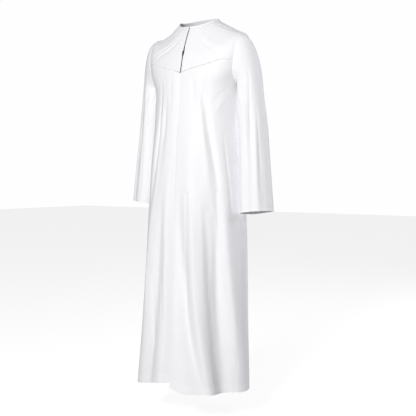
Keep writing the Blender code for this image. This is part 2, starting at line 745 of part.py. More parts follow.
def zip_pull_tab(frame, material, collection, tools):
    """The tab: a round eye, a narrow neck and a plate, with its origin on the pin."""
    eye = rod_object("zip_pull_tab", TAB_EYE_RADIUS, TAB_NECK_WIDTH, (0.0, 0.0, 0.0), collection)
    neck_length = TAB_NECK_LENGTH + TAB_JOIN
    neck = box_object(
        "tab_neck", (TAB_NECK_WIDTH, neck_length, TAB_THICKNESS), (0.0, -0.5 * neck_length, 0.0), tools
    )
    plate_length = TAB_LENGTH - TAB_NECK_LENGTH
    plate = box_object(
        "tab_plate",
        (TAB_WIDTH, plate_length, TAB_THICKNESS),
        (0.0, -TAB_NECK_LENGTH - 0.5 * plate_length, 0.0),
        tools,
    )
    rounding = plate.modifiers.new("rounding", "BEVEL")
    rounding.width = TAB_ROUNDING
    rounding.segments = ROUNDING_STEPS
    hole = rod_object("tab_hole", TAB_HOLE_RADIUS, 2.0 * TAB_NECK_WIDTH, (0.0, 0.0, 0.0), tools)
    combine(eye, neck, "UNION")
    combine(eye, plate, "UNION")
    combine(eye, hole, "DIFFERENCE")
    eye.data.materials.append(material)
    pin_place = (0.0, PIN_UP, SLIDER_CENTRE_DEPTH + 0.5 * SLIDER_THICKNESS + PIN_HEIGHT)
    lean = Matrix.Rotation(math.radians(TAB_LEAN), 4, "X")
    for thing in (eye, neck, plate, hole):
        thing.matrix_world = frame @ Matrix.Translation(pin_place) @ lean
    return eye


def main():
    """Build the whole robe."""
    clear_scene()
    collection = make_collection("thobe_robe")
    slider_tools = make_collection("slider_tools")
    tab_tools = make_collection("tab_tools")
    cloth = make_material("white_cloth", (0.93, 0.93, 0.94), 0.55, 0.0)
    tape = make_material("zip_tape_cloth", (0.85, 0.85, 0.85), 0.7, 0.0)
    metal = make_material("dark_zip_metal", (0.09, 0.085, 0.08), 0.35, 1.0)
    for side in (-1, 1):
        front_panel(side, cloth, collection)
        yoke_panel(side, cloth, collection)
        sleeve(side, cloth, collection)
        zip_tape(side, tape, collection)
    back_panel(cloth, collection)
    neck_binding(cloth, collection)
    frame = zip_frame()
    zip_slider(frame, metal, collection, slider_tools)
    zip_pull_tab(frame, metal, collection, tab_tools)


main()
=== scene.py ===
# %% [markdown]
# # A thobe robe, dressed over its CAD frame
# The robe is white cotton cloth: two fronts under a pointed yoke, a back, two straight
# sleeves, a narrow neck binding and a short zip. The CAD frame holds plain walls of cloth.
# Each cell below lays a finer sheet of cloth on the same form, with the small creases,
# stitches and zip teeth that the solids leave out.

# %% Open the frame
import math
import bmesh
import bpy
import numpy as np
from mathutils import Matrix, Vector


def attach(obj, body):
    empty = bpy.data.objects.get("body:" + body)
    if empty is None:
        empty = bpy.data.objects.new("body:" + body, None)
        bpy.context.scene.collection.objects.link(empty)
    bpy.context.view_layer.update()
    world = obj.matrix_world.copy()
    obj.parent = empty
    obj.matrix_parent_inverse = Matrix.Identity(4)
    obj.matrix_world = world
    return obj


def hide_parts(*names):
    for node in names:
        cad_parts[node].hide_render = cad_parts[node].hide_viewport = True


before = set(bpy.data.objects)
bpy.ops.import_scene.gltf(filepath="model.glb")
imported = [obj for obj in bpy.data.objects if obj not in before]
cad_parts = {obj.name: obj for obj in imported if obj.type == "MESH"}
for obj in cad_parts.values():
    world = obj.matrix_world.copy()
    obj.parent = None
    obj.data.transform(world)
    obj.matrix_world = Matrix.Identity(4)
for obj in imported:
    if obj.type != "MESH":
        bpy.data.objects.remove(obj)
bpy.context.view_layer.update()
robe_pieces = bpy.data.collections.new("robe_pieces")
bpy.context.scene.collection.children.link(robe_pieces)

# %% [markdown]
# ## The form of the body
# A worn robe is a tube that changes shape on its way down. It could be simulated on a
# figure, but a table of rings is steadier: each row says how wide and deep the tube is at
# one depth below the neck. Angles run round it in degrees, 0 at the centre front and
# positive toward the wearer's left. A second table lists the large folds.

# %% Rings and large folds
HEM_DROP = 1.340
LEVEL_COLUMNS = ("drop", "side_x", "side_z", "front_y", "back_y", "back_z", "square")
LEVELS = (
    (0.008, 0.086, 0.020, -0.067, 0.060, 0.034, 2.0),
    (0.045, 0.130, 0.002, -0.084, 0.086, 0.006, 1.9),
    (0.085, 0.174, -0.020, -0.099, 0.102, -0.034, 2.0),
    (0.120, 0.208, -0.042, -0.110, 0.111, -0.080, 2.1),
    (0.150, 0.214, -0.088, -0.117, 0.116, -0.124, 2.3),
    (0.185, 0.204, -0.148, -0.122, 0.116, -0.170, 2.4),
    (0.240, 0.178, -0.220, -0.127, 0.112, -0.235, 2.4),
    (0.320, 0.175, -0.318, -0.134, 0.106, -0.320, 2.4),
    (0.500, 0.189, -0.500, -0.152, 0.091, -0.500, 2.4),
    (0.700, 0.201, -0.700, -0.169, 0.083, -0.700, 2.4),
    (0.900, 0.211, -0.900, -0.182, 0.080, -0.900, 2.3),
    (1.100, 0.219, -1.100, -0.199, 0.079, -1.100, 2.2),
    (1.340, 0.230, -1.340, -0.222, 0.078, -1.340, 2.2),
)
FOLD_COLUMNS = (
    "top", "end", "top_angle", "mid_angle", "end_angle", "full_drop", "depth", "top_width", "end_width"
)
FOLDS = (
    (0.18, 0.80, 26, 45, 60, 0.42, -0.011, 4, 8),
    (0.50, HEM_DROP, 41, 47, 60, 1.10, -0.034, 8, 13),
    (0.22, HEM_DROP, 14, 22, 42, 0.85, 0.013, 8, 11),
    (0.52, HEM_DROP, 7, 12, 37, 0.95, -0.016, 4, 9),
    (0.40, HEM_DROP, 58, 66, 78, 1.00, 0.012, 8, 10),
    (0.24, 0.92, -25, -32, -35, 0.46, -0.007, 4, 6),
    (0.26, 0.70, -17, -19, -22, 0.38, -0.004, 3, 5),
    (0.40, HEM_DROP, -30, -33, -40, 0.80, 0.009, 6, 9),
    (0.60, HEM_DROP, -12, -18, -22, 1.00, -0.012, 4, 8),
    (0.48, HEM_DROP, -8, -6, -5, 0.78, 0.008, 4, 6),
    (0.32, HEM_DROP, -52, -56, -62, 0.95, -0.014, 6, 10),
    (0.60, HEM_DROP, 92, 92, 92, 1.10, -0.008, 7, 8),
    (0.35, HEM_DROP, 120, 117, 112, 0.95, -0.020, 8, 11),
    (0.28, HEM_DROP, 138, 137, 134, 0.85, 0.013, 8, 11),
    (0.24, HEM_DROP, 158, 155, 156, 0.90, -0.018, 7, 11),
    (0.34, HEM_DROP, 179, 180, 176, 0.90, 0.012, 8, 11),
    (0.26, HEM_DROP, 202, 199, 200, 0.95, -0.020, 8, 12),
    (0.36, HEM_DROP, 224, 226, 224, 0.85, 0.013, 8, 11),
    (0.30, HEM_DROP, 242, 243, 248, 0.95, -0.016, 8, 11),
)


def soft_step(low, high, value):
    """Rise softly from 0 at low to 1 at high."""
    share = np.clip((np.asarray(value, float) - low) / (high - low), 0.0, 1.0)
    return share * share * (3.0 - 2.0 * share)


def hump(offset, width):
    """A soft bump of height 1 that is a third high at one width from its middle."""
    return np.exp(-((np.asarray(offset, float) / width) ** 2))


def mix(first, second, share):
    """Blend two numbers, points or arrays."""
    return first + (second - first) * share


def table_curves(columns, rows):
    """Turn a table into smooth curves over its first column."""
    table = np.array(rows)
    knots = table[:, 0]
    return {
        name: (knots, table[:, index], np.gradient(table[:, index], knots))
        for index, name in enumerate(columns[1:], start=1)
    }


def read_curve(curve, place):
    """Read a smooth curve at many places, by the cubic between two knots."""
    knots, values, slopes = curve
    place = np.clip(place, knots[0], knots[-1])
    index = np.clip(np.searchsorted(knots, place, side="right") - 1, 0, len(knots) - 2)
    span = knots[index + 1] - knots[index]
    share = (place - knots[index]) / span
    square = share * share
    cube = square * share
    start = (2.0 * cube - 3.0 * square + 1.0) * values[index]
    start_slope = (cube - 2.0 * square + share) * span * slopes[index]
    end = (3.0 * square - 2.0 * cube) * values[index + 1]
    end_slope = (cube - square) * span * slopes[index + 1]
    return start + start_slope + end + end_slope


BODY_CURVES = table_curves(LEVEL_COLUMNS, LEVELS)
print("rings", len(LEVELS), "large folds", len(FOLDS))

# %% [markdown]
# ## Small creases
# Pressed cotton breaks into soft troughs with a slight ridge beside them. They could be a
# bump texture, but then a close view and the exported mesh would be smooth. So each crease
# is a short path on the cloth, and the cloth sinks or rises along it by a millimetre or
# more, most in the middle of the path. The paths differ in length, depth and spacing.

# %% Crease paths on the body
CREASE_COLUMNS = ("depth", "width", "path")
BODY_CREASES = (
    (-0.0030, 0.007, ((27, 0.19), (31, 0.23), (37, 0.28), (42, 0.36), (45, 0.46), (50, 0.53), (53, 0.61))),
    (0.0020, 0.008, ((20, 0.21), (25, 0.27), (31, 0.36), (36, 0.48), (40, 0.60))),
    (-0.0090, 0.016, ((50, 0.62), (53, 0.73), (53, 0.86), (57, 0.98), (64, 1.10), (69, 1.22), (73, 1.33))),
    (0.0065, 0.015, ((41, 0.70), (44, 0.84), (45, 0.98), (50, 1.12), (56, 1.26), (59, 1.33))),
    (0.0030, 0.009, ((30, 0.66), (33, 0.80), (36, 0.96), (42, 1.12), (48, 1.30))),
    (-0.0050, 0.009, ((14, 0.62), (15, 0.78), (16, 0.92), (17, 1.04), (22, 1.14), (30, 1.24), (38, 1.33))),
    (0.0022, 0.006, ((17, 0.60), (22, 0.76), (25, 0.96), (30, 1.12), (41, 1.30))),
    (-0.0022, 0.006, ((62, 0.40), (64, 0.48), (68, 0.58), (71, 0.70))),
    (-0.0020, 0.005, ((-9, 0.80), (-11, 0.91), (-9, 1.02), (-8, 1.14), (-6, 1.24))),
    (-0.0024, 0.006, ((-24, 0.92), (-22, 1.07), (-19, 1.18), (-20, 1.30))),
    (-0.0026, 0.005, ((-24, 0.20), (-27, 0.25), (-30, 0.35), (-32, 0.51), (-33, 0.63))),
    (0.0018, 0.005, ((-20, 0.22), (-23, 0.30), (-26, 0.42), (-27, 0.54))),
    (-0.0016, 0.004, ((-16, 0.27), (-18, 0.33), (-18, 0.42))),
    (0.0018, 0.006, ((-34, 0.84), (-33, 0.95), (-33, 1.06))),
    (-0.0018, 0.006, ((-52, 0.30), (-55, 0.45), (-56, 0.66), (-58, 0.90))),
    (-0.0020, 0.004, ((22, 0.020), (27, 0.060), (34, 0.100), (42, 0.138))),
    (0.0014, 0.004, ((30, 0.022), (35, 0.060), (43, 0.098), (52, 0.130))),
    (-0.0032, 0.005, ((-14, 0.034), (-22, 0.074), (-32, 0.112), (-40, 0.142))),
    (0.0026, 0.005, ((-24, 0.026), (-32, 0.062), (-42, 0.098), (-50, 0.130))),
    (-0.0016, 0.005, ((-30, 0.016), (-42, 0.040), (-54, 0.066), (-66, 0.096))),
    (-0.0014, 0.005, ((9, 0.185), (14, 0.215), (17, 0.260), (18, 0.320))),
    (0.0022, 0.005, ((60, 0.012), (66, 0.050), (73, 0.085), (78, 0.110))),
    (-0.0016, 0.004, ((66, 0.012), (73, 0.050), (80, 0.085), (84, 0.108))),
    (0.0018, 0.005, ((-60, 0.012), (-66, 0.050), (-73, 0.085), (-78, 0.110))),
    (-0.0014, 0.005, ((-8, 0.185), (-10, 0.230), (-9, 0.290))),
    (-0.0014, 0.006, ((72, 0.245), (58, 0.262), (46, 0.290))),
    (-0.0022, 0.006, ((-74, 0.240), (-62, 0.255), (-50, 0.285))),
    (0.0016, 0.007, ((70, 0.275), (58, 0.295), (48, 0.330))),
    (-0.0020, 0.007, ((112, 0.250), (124, 0.275), (136, 0.330), (142, 0.42))),
    (-0.0020, 0.007, ((-112, 0.250), (-122, 0.285), (-132, 0.350), (-137, 0.45))),
    (-0.0024, 0.007, ((118, 0.50), (115, 0.74), (112, 1.00), (110, 1.26))),
    (-0.0022, 0.008, ((156, 0.36), (154, 0.58), (155, 0.86), (158, 1.10))),
    (0.0020, 0.008, ((146, 0.46), (145, 0.70), (146, 0.95), (147, 1.24))),
    (-0.0024, 0.008, ((200, 0.42), (199, 0.70), (200, 0.98), (203, 1.30))),
    (0.0018, 0.008, ((186, 0.40), (188, 0.62), (187, 0.84))),
    (-0.0020, 0.007, ((214, 0.62), (213, 0.86), (211, 1.12), (213, 1.31))),
    (-0.0022, 0.007, ((244, 0.44), (246, 0.72), (250, 1.02), (252, 1.30))),
    (0.0018, 0.007, ((233, 0.40), (234, 0.66), (233, 0.95))),
    (-0.0014, 0.006, ((170, 0.060), (176, 0.110), (178, 0.180), (179, 0.270))),
    (-0.0016, 0.006, ((140, 0.090), (150, 0.140), (157, 0.200), (160, 0.280))),
    (-0.0016, 0.006, ((222, 0.086), (212, 0.134), (205, 0.196), (202, 0.290))),
    (-0.0018, 0.006, ((84, 0.34), (86, 0.46), (88, 0.62), (88, 0.80))),
    (-0.0018, 0.006, ((-84, 0.36), (-86, 0.50), (-86, 0.68), (-84, 0.86))),
    (0.0016, 0.007, ((100, 0.56), (100, 0.80), (98, 1.05), (97, 1.28))),
)
BODY_DEGREE = 0.0028
CREASE_END_DEPTH = 0.35
CREASE_START_WIDTH = 0.7
CREASE_SPREAD = 0.6
FAR_AWAY = 1.0


def crease_height(across, along, creases, degree):
    """How far creases push the cloth out. Across is in degrees of this many metres each."""
    height = np.zeros(np.shape(across))
    for row in creases:
        depth, width, path = (dict(zip(CREASE_COLUMNS, row))[name] for name in CREASE_COLUMNS)
        nearest = np.full(height.shape, FAR_AWAY)
        place = np.zeros(height.shape)
        steps = len(path) - 1
        for number, (first, second) in enumerate(zip(path[:-1], path[1:])):
            gap_x = ((across - first[0] + 180.0) % 360.0 - 180.0) * degree
            gap_y = along - first[1]
            run_x = (second[0] - first[0]) * degree
            run_y = second[1] - first[1]
            share = np.clip((gap_x * run_x + gap_y * run_y) / (run_x ** 2 + run_y ** 2), 0.0, 1.0)
            distance = np.hypot(gap_x - share * run_x, gap_y - share * run_y)
            closer = distance < nearest
            nearest = np.where(closer, distance, nearest)
            place = np.where(closer, (number + share) / steps, place)
        swell = mix(CREASE_END_DEPTH, 1.0, np.sin(math.pi * np.clip(place, 0.0, 1.0)))
        height += depth * swell * hump(nearest, width * (CREASE_START_WIDTH + CREASE_SPREAD * place))
    return height


print("creases on the body", len(BODY_CREASES))

# %% [markdown]
# ## The body's surface
# One function gives a point of the cloth for any angle and drop: the ring, the folds and the
# creases together. The left front lies over the right one all the way down, and its free
# edge stands a little proud toward the hem, where the right front drops back. Pushing
# finished meshes apart would leave gaps at the seams, so the lap is part of the surface.

# %% Body surface
CREST_POWER = 3.0
CREST_EASE_LEFT = 0.003
CREST_EASE_RIGHT = 0.015
CREST_EASE_START = 0.008
CREST_EASE_FULL = 0.045
CREST_EASE_FADE = 0.066
FACING_STEP = 0.002
ARMHOLE_TOP_DROP = 0.114
ARMHOLE_BOTTOM_DROP = 0.238
ARMHOLE_TOP_ANGLE = 78.0
ARMHOLE_BOTTOM_ANGLE = 91.0
ARMHOLE_HALF_ANGLE = 20.0
NECK_SEAM_ANGLE = 56.0
HEM_SEAM_ANGLE = 71.0
SIDE_SEAM_POWER = 0.7
LAP_START_DROP = 0.22
LAP_DRIFT_START = 0.30
LAP_FULL_DROP = 1.15
PLACKET_GROOVE = 0.0060
PLACKET_WIDTH = 0.0022
PLACKET_ASIDE = 0.0030
PLACKET_FADE_START = 0.30
PLACKET_FADE_END = 0.46
PLACKET_LEAST = 0.25
TUCK_DEPTH = 0.0031
TUCK_START_ANGLE = -7.0
TUCK_END_ANGLE = 1.0
LAP_PROUD = 0.008
LAP_PROUD_WIDTH = 12.0
LAP_SINK = 0.030
LAP_SINK_ANGLE = 6.0
LAP_SINK_WIDTH = 15.0
LAP_EDGE_END_ANGLE = 6.0
LAP_TUCK = 14.0


def angle_gap(first, second):
    """The shorter way round between two angles, in degrees, with its sign."""
    return (first - second + 180.0) % 360.0 - 180.0


def fold_height(angle, drop):
    """How far the large folds push the cloth out, or in where negative."""
    height = np.zeros(np.shape(angle))
    for row in FOLDS:
        fold = dict(zip(FOLD_COLUMNS, row))
        growth = soft_step(fold["top"], fold["full_drop"], drop)
        run = np.clip((drop - fold["top"]) / (fold["end"] - fold["top"]), 0.0, 1.0)
        bend = 2.0 * fold["mid_angle"] - 0.5 * (fold["top_angle"] + fold["end_angle"])
        middle = mix(mix(fold["top_angle"], bend, run), mix(bend, fold["end_angle"], run), run)
        width = mix(fold["top_width"], fold["end_width"], run)
        if fold["end"] < HEM_DROP:
            growth = growth * (1.0 - soft_step(fold["full_drop"], fold["end"], drop))
        height += fold["depth"] * growth * hump(angle_gap(angle, middle), width)
    return height


def lap_edge_angle(drop):
    """The angle of the left front's free edge, which drifts on the way down."""
    return LAP_EDGE_END_ANGLE * soft_step(LAP_DRIFT_START, HEM_DROP, drop)


def lap_height(angle, drop, side):
    """The left edge stands proud at the lap and the right front sinks behind it."""
    growth = soft_step(LAP_START_DROP, LAP_FULL_DROP, drop)
    if side > 0:
        return LAP_PROUD * growth * hump(angle - LAP_EDGE_END_ANGLE, LAP_PROUD_WIDTH)
    tuck = TUCK_DEPTH * soft_step(TUCK_START_ANGLE, TUCK_END_ANGLE, angle)
    return -tuck - LAP_SINK * growth * hump(angle - LAP_SINK_ANGLE, LAP_SINK_WIDTH)


def placket_groove(angle, drop):
    """The narrow groove in the right front along the lap's edge, deepest under the yoke."""
    depth = PLACKET_GROOVE * mix(1.0, PLACKET_LEAST, soft_step(PLACKET_FADE_START, PLACKET_FADE_END, drop))
    return depth * hump((angle - lap_edge_angle(drop)) * BODY_DEGREE + PLACKET_ASIDE, PLACKET_WIDTH)


def body_surface(angle, drop, side=0, creased=True):
    """Points of the body's outer surface. Side is 1 on the left front and -1 on the right."""
    angle, drop = np.broadcast_arrays(np.asarray(angle, float), np.asarray(drop, float))
    ring = {name: read_curve(curve, drop) for name, curve in BODY_CURVES.items()}
    across = np.sin(np.radians(angle))
    along = np.cos(np.radians(angle))
    power = 2.0 / ring["square"]
    x = np.sign(across) * np.abs(across) ** power * ring["side_x"]
    reach = np.sign(along) * np.abs(along) ** power
    front = along > 0.0
    y = np.where(front, ring["front_y"] * reach, -ring["back_y"] * reach)
    ease = np.where(across > 0.0, CREST_EASE_LEFT, CREST_EASE_RIGHT)
    ease = ease * soft_step(CREST_EASE_START, CREST_EASE_FULL, drop)
    ease = ease * (1.0 - soft_step(CREST_EASE_FADE, ARMHOLE_TOP_DROP, drop))
    z = mix(np.where(front, -drop, ring["back_z"]), ring["side_z"] - ease, np.abs(across) ** CREST_POWER)
    push = fold_height(angle, drop)
    if side:
        push = push + lap_height(angle, drop, side)
    if creased:
        push = push + crease_height(angle, drop, BODY_CREASES, BODY_DEGREE)
        if side < 0:
            push = push - placket_groove(angle, drop)
    depth_y = np.where(front, -ring["front_y"], ring["back_y"])
    outward = np.stack((across / ring["side_x"], -along / depth_y, 0.0 * x), -1)
    outward /= np.linalg.norm(outward, axis=-1, keepdims=True)
    return np.stack((x, y, z), -1) + outward * push[..., None]


def unit(vectors):
    """Vectors scaled to length 1."""
    return vectors / np.maximum(np.linalg.norm(vectors, axis=-1, keepdims=True), 1e-12)


def body_facing(angle, drop, side=0, creased=True):
    """The outward direction of the body's surface."""
    angle, drop = np.broadcast_arrays(np.asarray(angle, float), np.asarray(drop, float))
    low = np.maximum(drop - FACING_STEP, LEVELS[0][0])
    around = body_surface(angle + 0.5, drop, side, creased) - body_surface(angle - 0.5, drop, side, creased)
    down = body_surface(angle, drop + FACING_STEP, side, creased) - body_surface(angle, low, side, creased)
    return unit(np.cross(down, around))


def degree_length(angle, drop):
    """Metres of cloth for one degree round the body."""
    step = body_surface(angle + 0.5, drop, creased=False) - body_surface(angle - 0.5, drop, creased=False)
    return np.linalg.norm(step, axis=-1)


print("centre front at the yoke's point:", np.round(body_surface(0.0, 0.17), 4))

# %% [markdown]
# ## Sewing sheets of cloth
# Every panel is a grid of points, rows from top to bottom. A Solidify modifier could give it
# its thickness, but at a seam two panels would then lean into each other, so the inner face
# is placed by the same rule as the outer one. The grid's own lengths go into a UV map in
# metres, which later drives the weave. Its second coordinate is the height above the panel's
# last row, so the same map also marks the turned hem.

# %% Helpers for cloth pieces
CLOTH_THICKNESS = 0.0008
SEAM_GROOVE = 0.0005
SEAM_GROOVE_WIDTH = 0.0016
YOKE_STEP = 0.0017
SLEEVE_TUCK = 0.0016
HEM_HEIGHT = 0.035
CUFF_HEM_HEIGHT = 0.013
HEM_STEP = 0.001
SHARP_EDGE = math.radians(62.0)


def cloth_lengths(grid):
    """Metres across and down a grid of points, from its middle column and its last row."""
    across = np.linalg.norm(np.diff(grid, axis=1), axis=-1)
    across = np.concatenate((np.zeros((len(grid), 1)), np.cumsum(across, axis=1)), axis=1)
    across -= across[:, across.shape[1] // 2][:, None]
    down = np.linalg.norm(np.diff(grid, axis=0), axis=-1)
    down = np.concatenate((np.cumsum(down[::-1], axis=0)[::-1], np.zeros((1, grid.shape[1]))), axis=0)
    return across, down


def sheet_piece(name, outer, inner, closed=False):
    """A thin closed shell between two grids of points, with its UV maps."""
    rows, columns = outer.shape[:2]
    across, down = cloth_lengths(outer)
    columns_used = columns - 1 if closed else columns
    count = rows * columns_used
    points = np.concatenate((outer[:, :columns_used].reshape(-1, 3), inner[:, :columns_used].reshape(-1, 3)))
    row, column = np.meshgrid(np.arange(rows - 1), np.arange(columns - 1), indexing="ij")
    row = row.ravel()
    column = column.ravel()

    faces = []
    maps = []

    def add_quads(corners, flip=False):
        """Faces from four corners, each as row, column, and 0 for the outer or 1 for the inner grid."""
        ring = corners[::-1] if flip else corners
        numbers = [grid * count + r * columns_used + c % columns_used for r, c, grid in ring]
        faces.append(np.stack(numbers, -1))
        maps.append(np.stack([np.stack((across[r, c], down[r, c]), -1) for r, c, grid in ring], 1))

    add_quads(((row, column, 0), (row + 1, column, 0), (row + 1, column + 1, 0), (row, column + 1, 0)))
    add_quads(((row, column + 1, 1), (row + 1, column + 1, 1), (row + 1, column, 1), (row, column, 1)))
    span = np.arange(columns - 1)
    for place, flip in ((0 * span, False), (0 * span + rows - 1, True)):
        add_quads(((place, span + 1, 0), (place, span + 1, 1), (place, span, 1), (place, span, 0)), flip)
    if not closed:
        edge = np.arange(rows - 1)
        for place, flip in ((0 * edge, False), (0 * edge + columns - 1, True)):
            add_quads(((edge, place, 0), (edge, place, 1), (edge + 1, place, 1), (edge + 1, place, 0)), flip)
    faces = np.concatenate(faces)
    maps = np.concatenate(maps).reshape(-1, 2)
    mesh = bpy.data.meshes.new(name)
    mesh.vertices.add(len(points))
    mesh.vertices.foreach_set("co", points.astype(np.float32).ravel())
    mesh.loops.add(faces.size)
    mesh.loops.foreach_set("vertex_index", faces.astype(np.int32).ravel())
    mesh.polygons.add(len(faces))
    mesh.polygons.foreach_set("loop_start", (np.arange(len(faces)) * 4).astype(np.int32))
    mesh.update(calc_edges=True)
    uv_map = mesh.uv_layers.new(name="cloth_metres")
    uv_map.data.foreach_set("uv", maps.astype(np.float32).ravel())
    mesh.shade_smooth()
    mesh.set_sharp_from_angle(angle=SHARP_EDGE)
    mesh.validate()
    piece = bpy.data.objects.new(name, mesh)
    robe_pieces.objects.link(piece)
    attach(piece, "robe")
    print(name, "triangles", 2 * len(faces))
    return piece


def body_sheet(name, angle, drop, side=0, hem_height=0.0, top_step=SEAM_GROOVE):
    """A piece of the body's surface from arrays of angle and drop, with a turned hem."""
    points = body_surface(angle, drop, side)
    facing = body_facing(angle, drop, side)
    sink = seam_groove(points, top_step)
    thickness = turned_thickness(points, hem_height)
    outer = points - facing * sink[..., None]
    return sheet_piece(name, outer, outer - facing * thickness[..., None])


def turned_thickness(points, hem_height):
    """The cloth's thickness, doubled where the hem is turned up inside."""
    height = cloth_lengths(points)[1]
    thickness = np.full(height.shape, CLOTH_THICKNESS)
    if hem_height:
        thickness += CLOTH_THICKNESS * (1.0 - soft_step(hem_height - HEM_STEP, hem_height + HEM_STEP, height))
    return thickness


def seam_groove(points, top_step):
    """How far the cloth dips at its side and top seams, in metres, from its own lengths."""
    across, down = cloth_lengths(points)
    to_left = across - across[:, :1]
    to_right = across[:, -1:] - across
    to_top = down[:1] - down
    sides = SEAM_GROOVE * np.maximum(hump(to_left, SEAM_GROOVE_WIDTH), hump(to_right, SEAM_GROOVE_WIDTH))
    return np.maximum(sides, top_step * hump(to_top, 2.0 * SEAM_GROOVE_WIDTH))


# %% [markdown]
# ## Seam lines
# Each seam is a rule that gives its angle or its drop, such as the yoke seam, which dips to a
# point at the centre, and the armhole's oval. Lines drawn by hand on the mesh would drift
# apart. Rules shared by both neighbours let every panel end exactly where the next starts.

# %% Seam lines
YOKE_POINT_DIP = 0.023
YOKE_POINT_POWER = 4.2
YOKE_RISE = 0.017
YOKE_RISE_FADE = 0.60
ARMHOLE_ROWS = 11
YOKE_ARMHOLE_ROW = 5
YOKE_DIP_FADE = 4.0
SLIT_HALF_GAP = 0.0021
SLIDER_HALF_GAP = 0.0043
SLIDER_DROP = 0.0985
SLIDER_SPREAD = 0.030
RIGHT_HEM_LIFT = 0.009
RIGHT_HEM_LIFT_WIDTH = 60.0
RIGHT_HEM_RISE = 0.018
RIGHT_HEM_RISE_WIDTH = 26.0
LEFT_HEM_RISE = 0.018
LEFT_HEM_RISE_WIDTH = 9.0
LEFT_HEM_SAG = 0.006
LEFT_HEM_SAG_ANGLE = 60.0
LEFT_HEM_SAG_WIDTH = 18.0


def seam_angle(drop, end):
    """Where a front (end -1) or the back (end 1) ends: shoulder seam, armhole or side seam."""
    neck_drop = LEVELS[0][0]
    share = np.clip((drop - neck_drop) / (ARMHOLE_TOP_DROP - neck_drop), 0.0, 1.0)
    shoulder = mix(NECK_SEAM_ANGLE, ARMHOLE_TOP_ANGLE, share)
    hole = np.clip((drop - ARMHOLE_TOP_DROP) / (ARMHOLE_BOTTOM_DROP - ARMHOLE_TOP_DROP), 0.0, 1.0)
    half = ARMHOLE_HALF_ANGLE * np.sqrt(np.maximum(1.0 - (2.0 * hole - 1.0) ** 2, 0.0))
    armhole = mix(ARMHOLE_TOP_ANGLE, ARMHOLE_BOTTOM_ANGLE, hole) + end * half
    run = np.clip((drop - ARMHOLE_BOTTOM_DROP) / (HEM_DROP - ARMHOLE_BOTTOM_DROP), 0.0, 1.0)
    side = mix(ARMHOLE_BOTTOM_ANGLE, HEM_SEAM_ANGLE, run ** SIDE_SEAM_POWER)
    return np.where(drop < ARMHOLE_TOP_DROP, shoulder, np.where(drop < ARMHOLE_BOTTOM_DROP, armhole, side))


def yoke_dip(angle, outer):
    """How far the yoke seam lies below its drop at the armhole: up a little, then down to its point."""
    share = np.clip(np.abs(angle) / outer, 0.0, 1.0)
    rise = YOKE_RISE * (1.0 - soft_step(YOKE_RISE_FADE, 1.0, share))
    return YOKE_POINT_DIP * (1.0 - share) ** YOKE_POINT_POWER - rise


def slit_half_gap(drop):
    """Half the slit's width: it opens round the slider."""
    return SLIT_HALF_GAP + (SLIDER_HALF_GAP - SLIT_HALF_GAP) * hump(drop - SLIDER_DROP, 0.5 * SLIDER_SPREAD)


def hem_drop(angle, side):
    """The hem is level, but for the fronts, which rise toward the lap."""
    if side > 0:
        rise = LEFT_HEM_RISE * hump(angle - LAP_EDGE_END_ANGLE, LEFT_HEM_RISE_WIDTH)
        return HEM_DROP - rise + LEFT_HEM_SAG * hump(angle - LEFT_HEM_SAG_ANGLE, LEFT_HEM_SAG_WIDTH)
    lift = RIGHT_HEM_LIFT * hump(angle, RIGHT_HEM_LIFT_WIDTH)
    return HEM_DROP - lift - RIGHT_HEM_RISE * hump(angle, RIGHT_HEM_RISE_WIDTH)


def armhole_drop(row):
    """The drop of one of the solids' rows across the armhole."""
    share = 0.5 * (1.0 - math.cos(math.pi * row / ARMHOLE_ROWS))
    return mix(ARMHOLE_TOP_DROP, ARMHOLE_BOTTOM_DROP, share)


YOKE_SIDE_DROP = armhole_drop(YOKE_ARMHOLE_ROW)


print("yoke seam at the armhole:", round(YOKE_SIDE_DROP, 4), "m below the neck")

# %% [markdown]
# ## Front yokes
# The front yoke is two shaped pieces that meet at the zip. Each could be cut out of a plain
# grid, which leaves a ragged edge. Instead the grid's own sides are laid along the slit, the
# neck, the shoulder and the seam, so its edges are true lines.

# %% Front yokes
YOKE_ROWS = 70
YOKE_COLUMNS = 64
YOKE_COLUMN_POWER = 1.25


def yoke_sheet(side):
    """One front yoke, from the neck to the yoke seam."""
    top = LEVELS[0][0]
    base = np.linspace(top, YOKE_SIDE_DROP, YOKE_ROWS)[:, None]
    run = (base - top) / (YOKE_SIDE_DROP - top)
    centre_drop = base + (YOKE_POINT_DIP - YOKE_RISE) * run ** 2
    inner = slit_half_gap(centre_drop) / degree_length(0.0, centre_drop)
    outer = seam_angle(base, -1)
    angle = mix(inner, outer, np.linspace(0.0, 1.0, YOKE_COLUMNS)[None, :] ** YOKE_COLUMN_POWER)
    drop = base + yoke_dip(angle, outer) * run ** 2
    if side < 0:
        angle, drop = -angle[:, ::-1], drop[:, ::-1]
    piece = body_sheet("yoke_cloth_left" if side > 0 else "yoke_cloth_right", angle, drop)
    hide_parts("yoke_front_left" if side > 0 else "yoke_front_right")
    return piece


yokes = [yoke_sheet(side) for side in (-1, 1)]

# %% [markdown]
# ## Fronts
# Below the yoke each front hangs as one panel to the hem. The left one ends in a free edge,
# and the right one runs on under it, so that the lap is two real layers. Rows of the grid
# follow the yoke's point at the top and flatten out on the way down, as the weave does.

# %% Fronts
FRONT_ROWS = 330
FRONT_COLUMNS = 92
FRONT_COLUMN_POWER = 1.15
UNDERLAP_COLUMNS = 12
ARMHOLE_ROW_SHARE = 0.2
YOKE_SEAM_GAP = 0.0001


def panel_rows(first, split, last, count):
    """Drops that are closer together above the split, where the armhole curves."""
    near = int(count * ARMHOLE_ROW_SHARE)
    upper = np.linspace(first, split, near, endpoint=False)
    return np.concatenate((upper, np.linspace(split, last, count - near)))


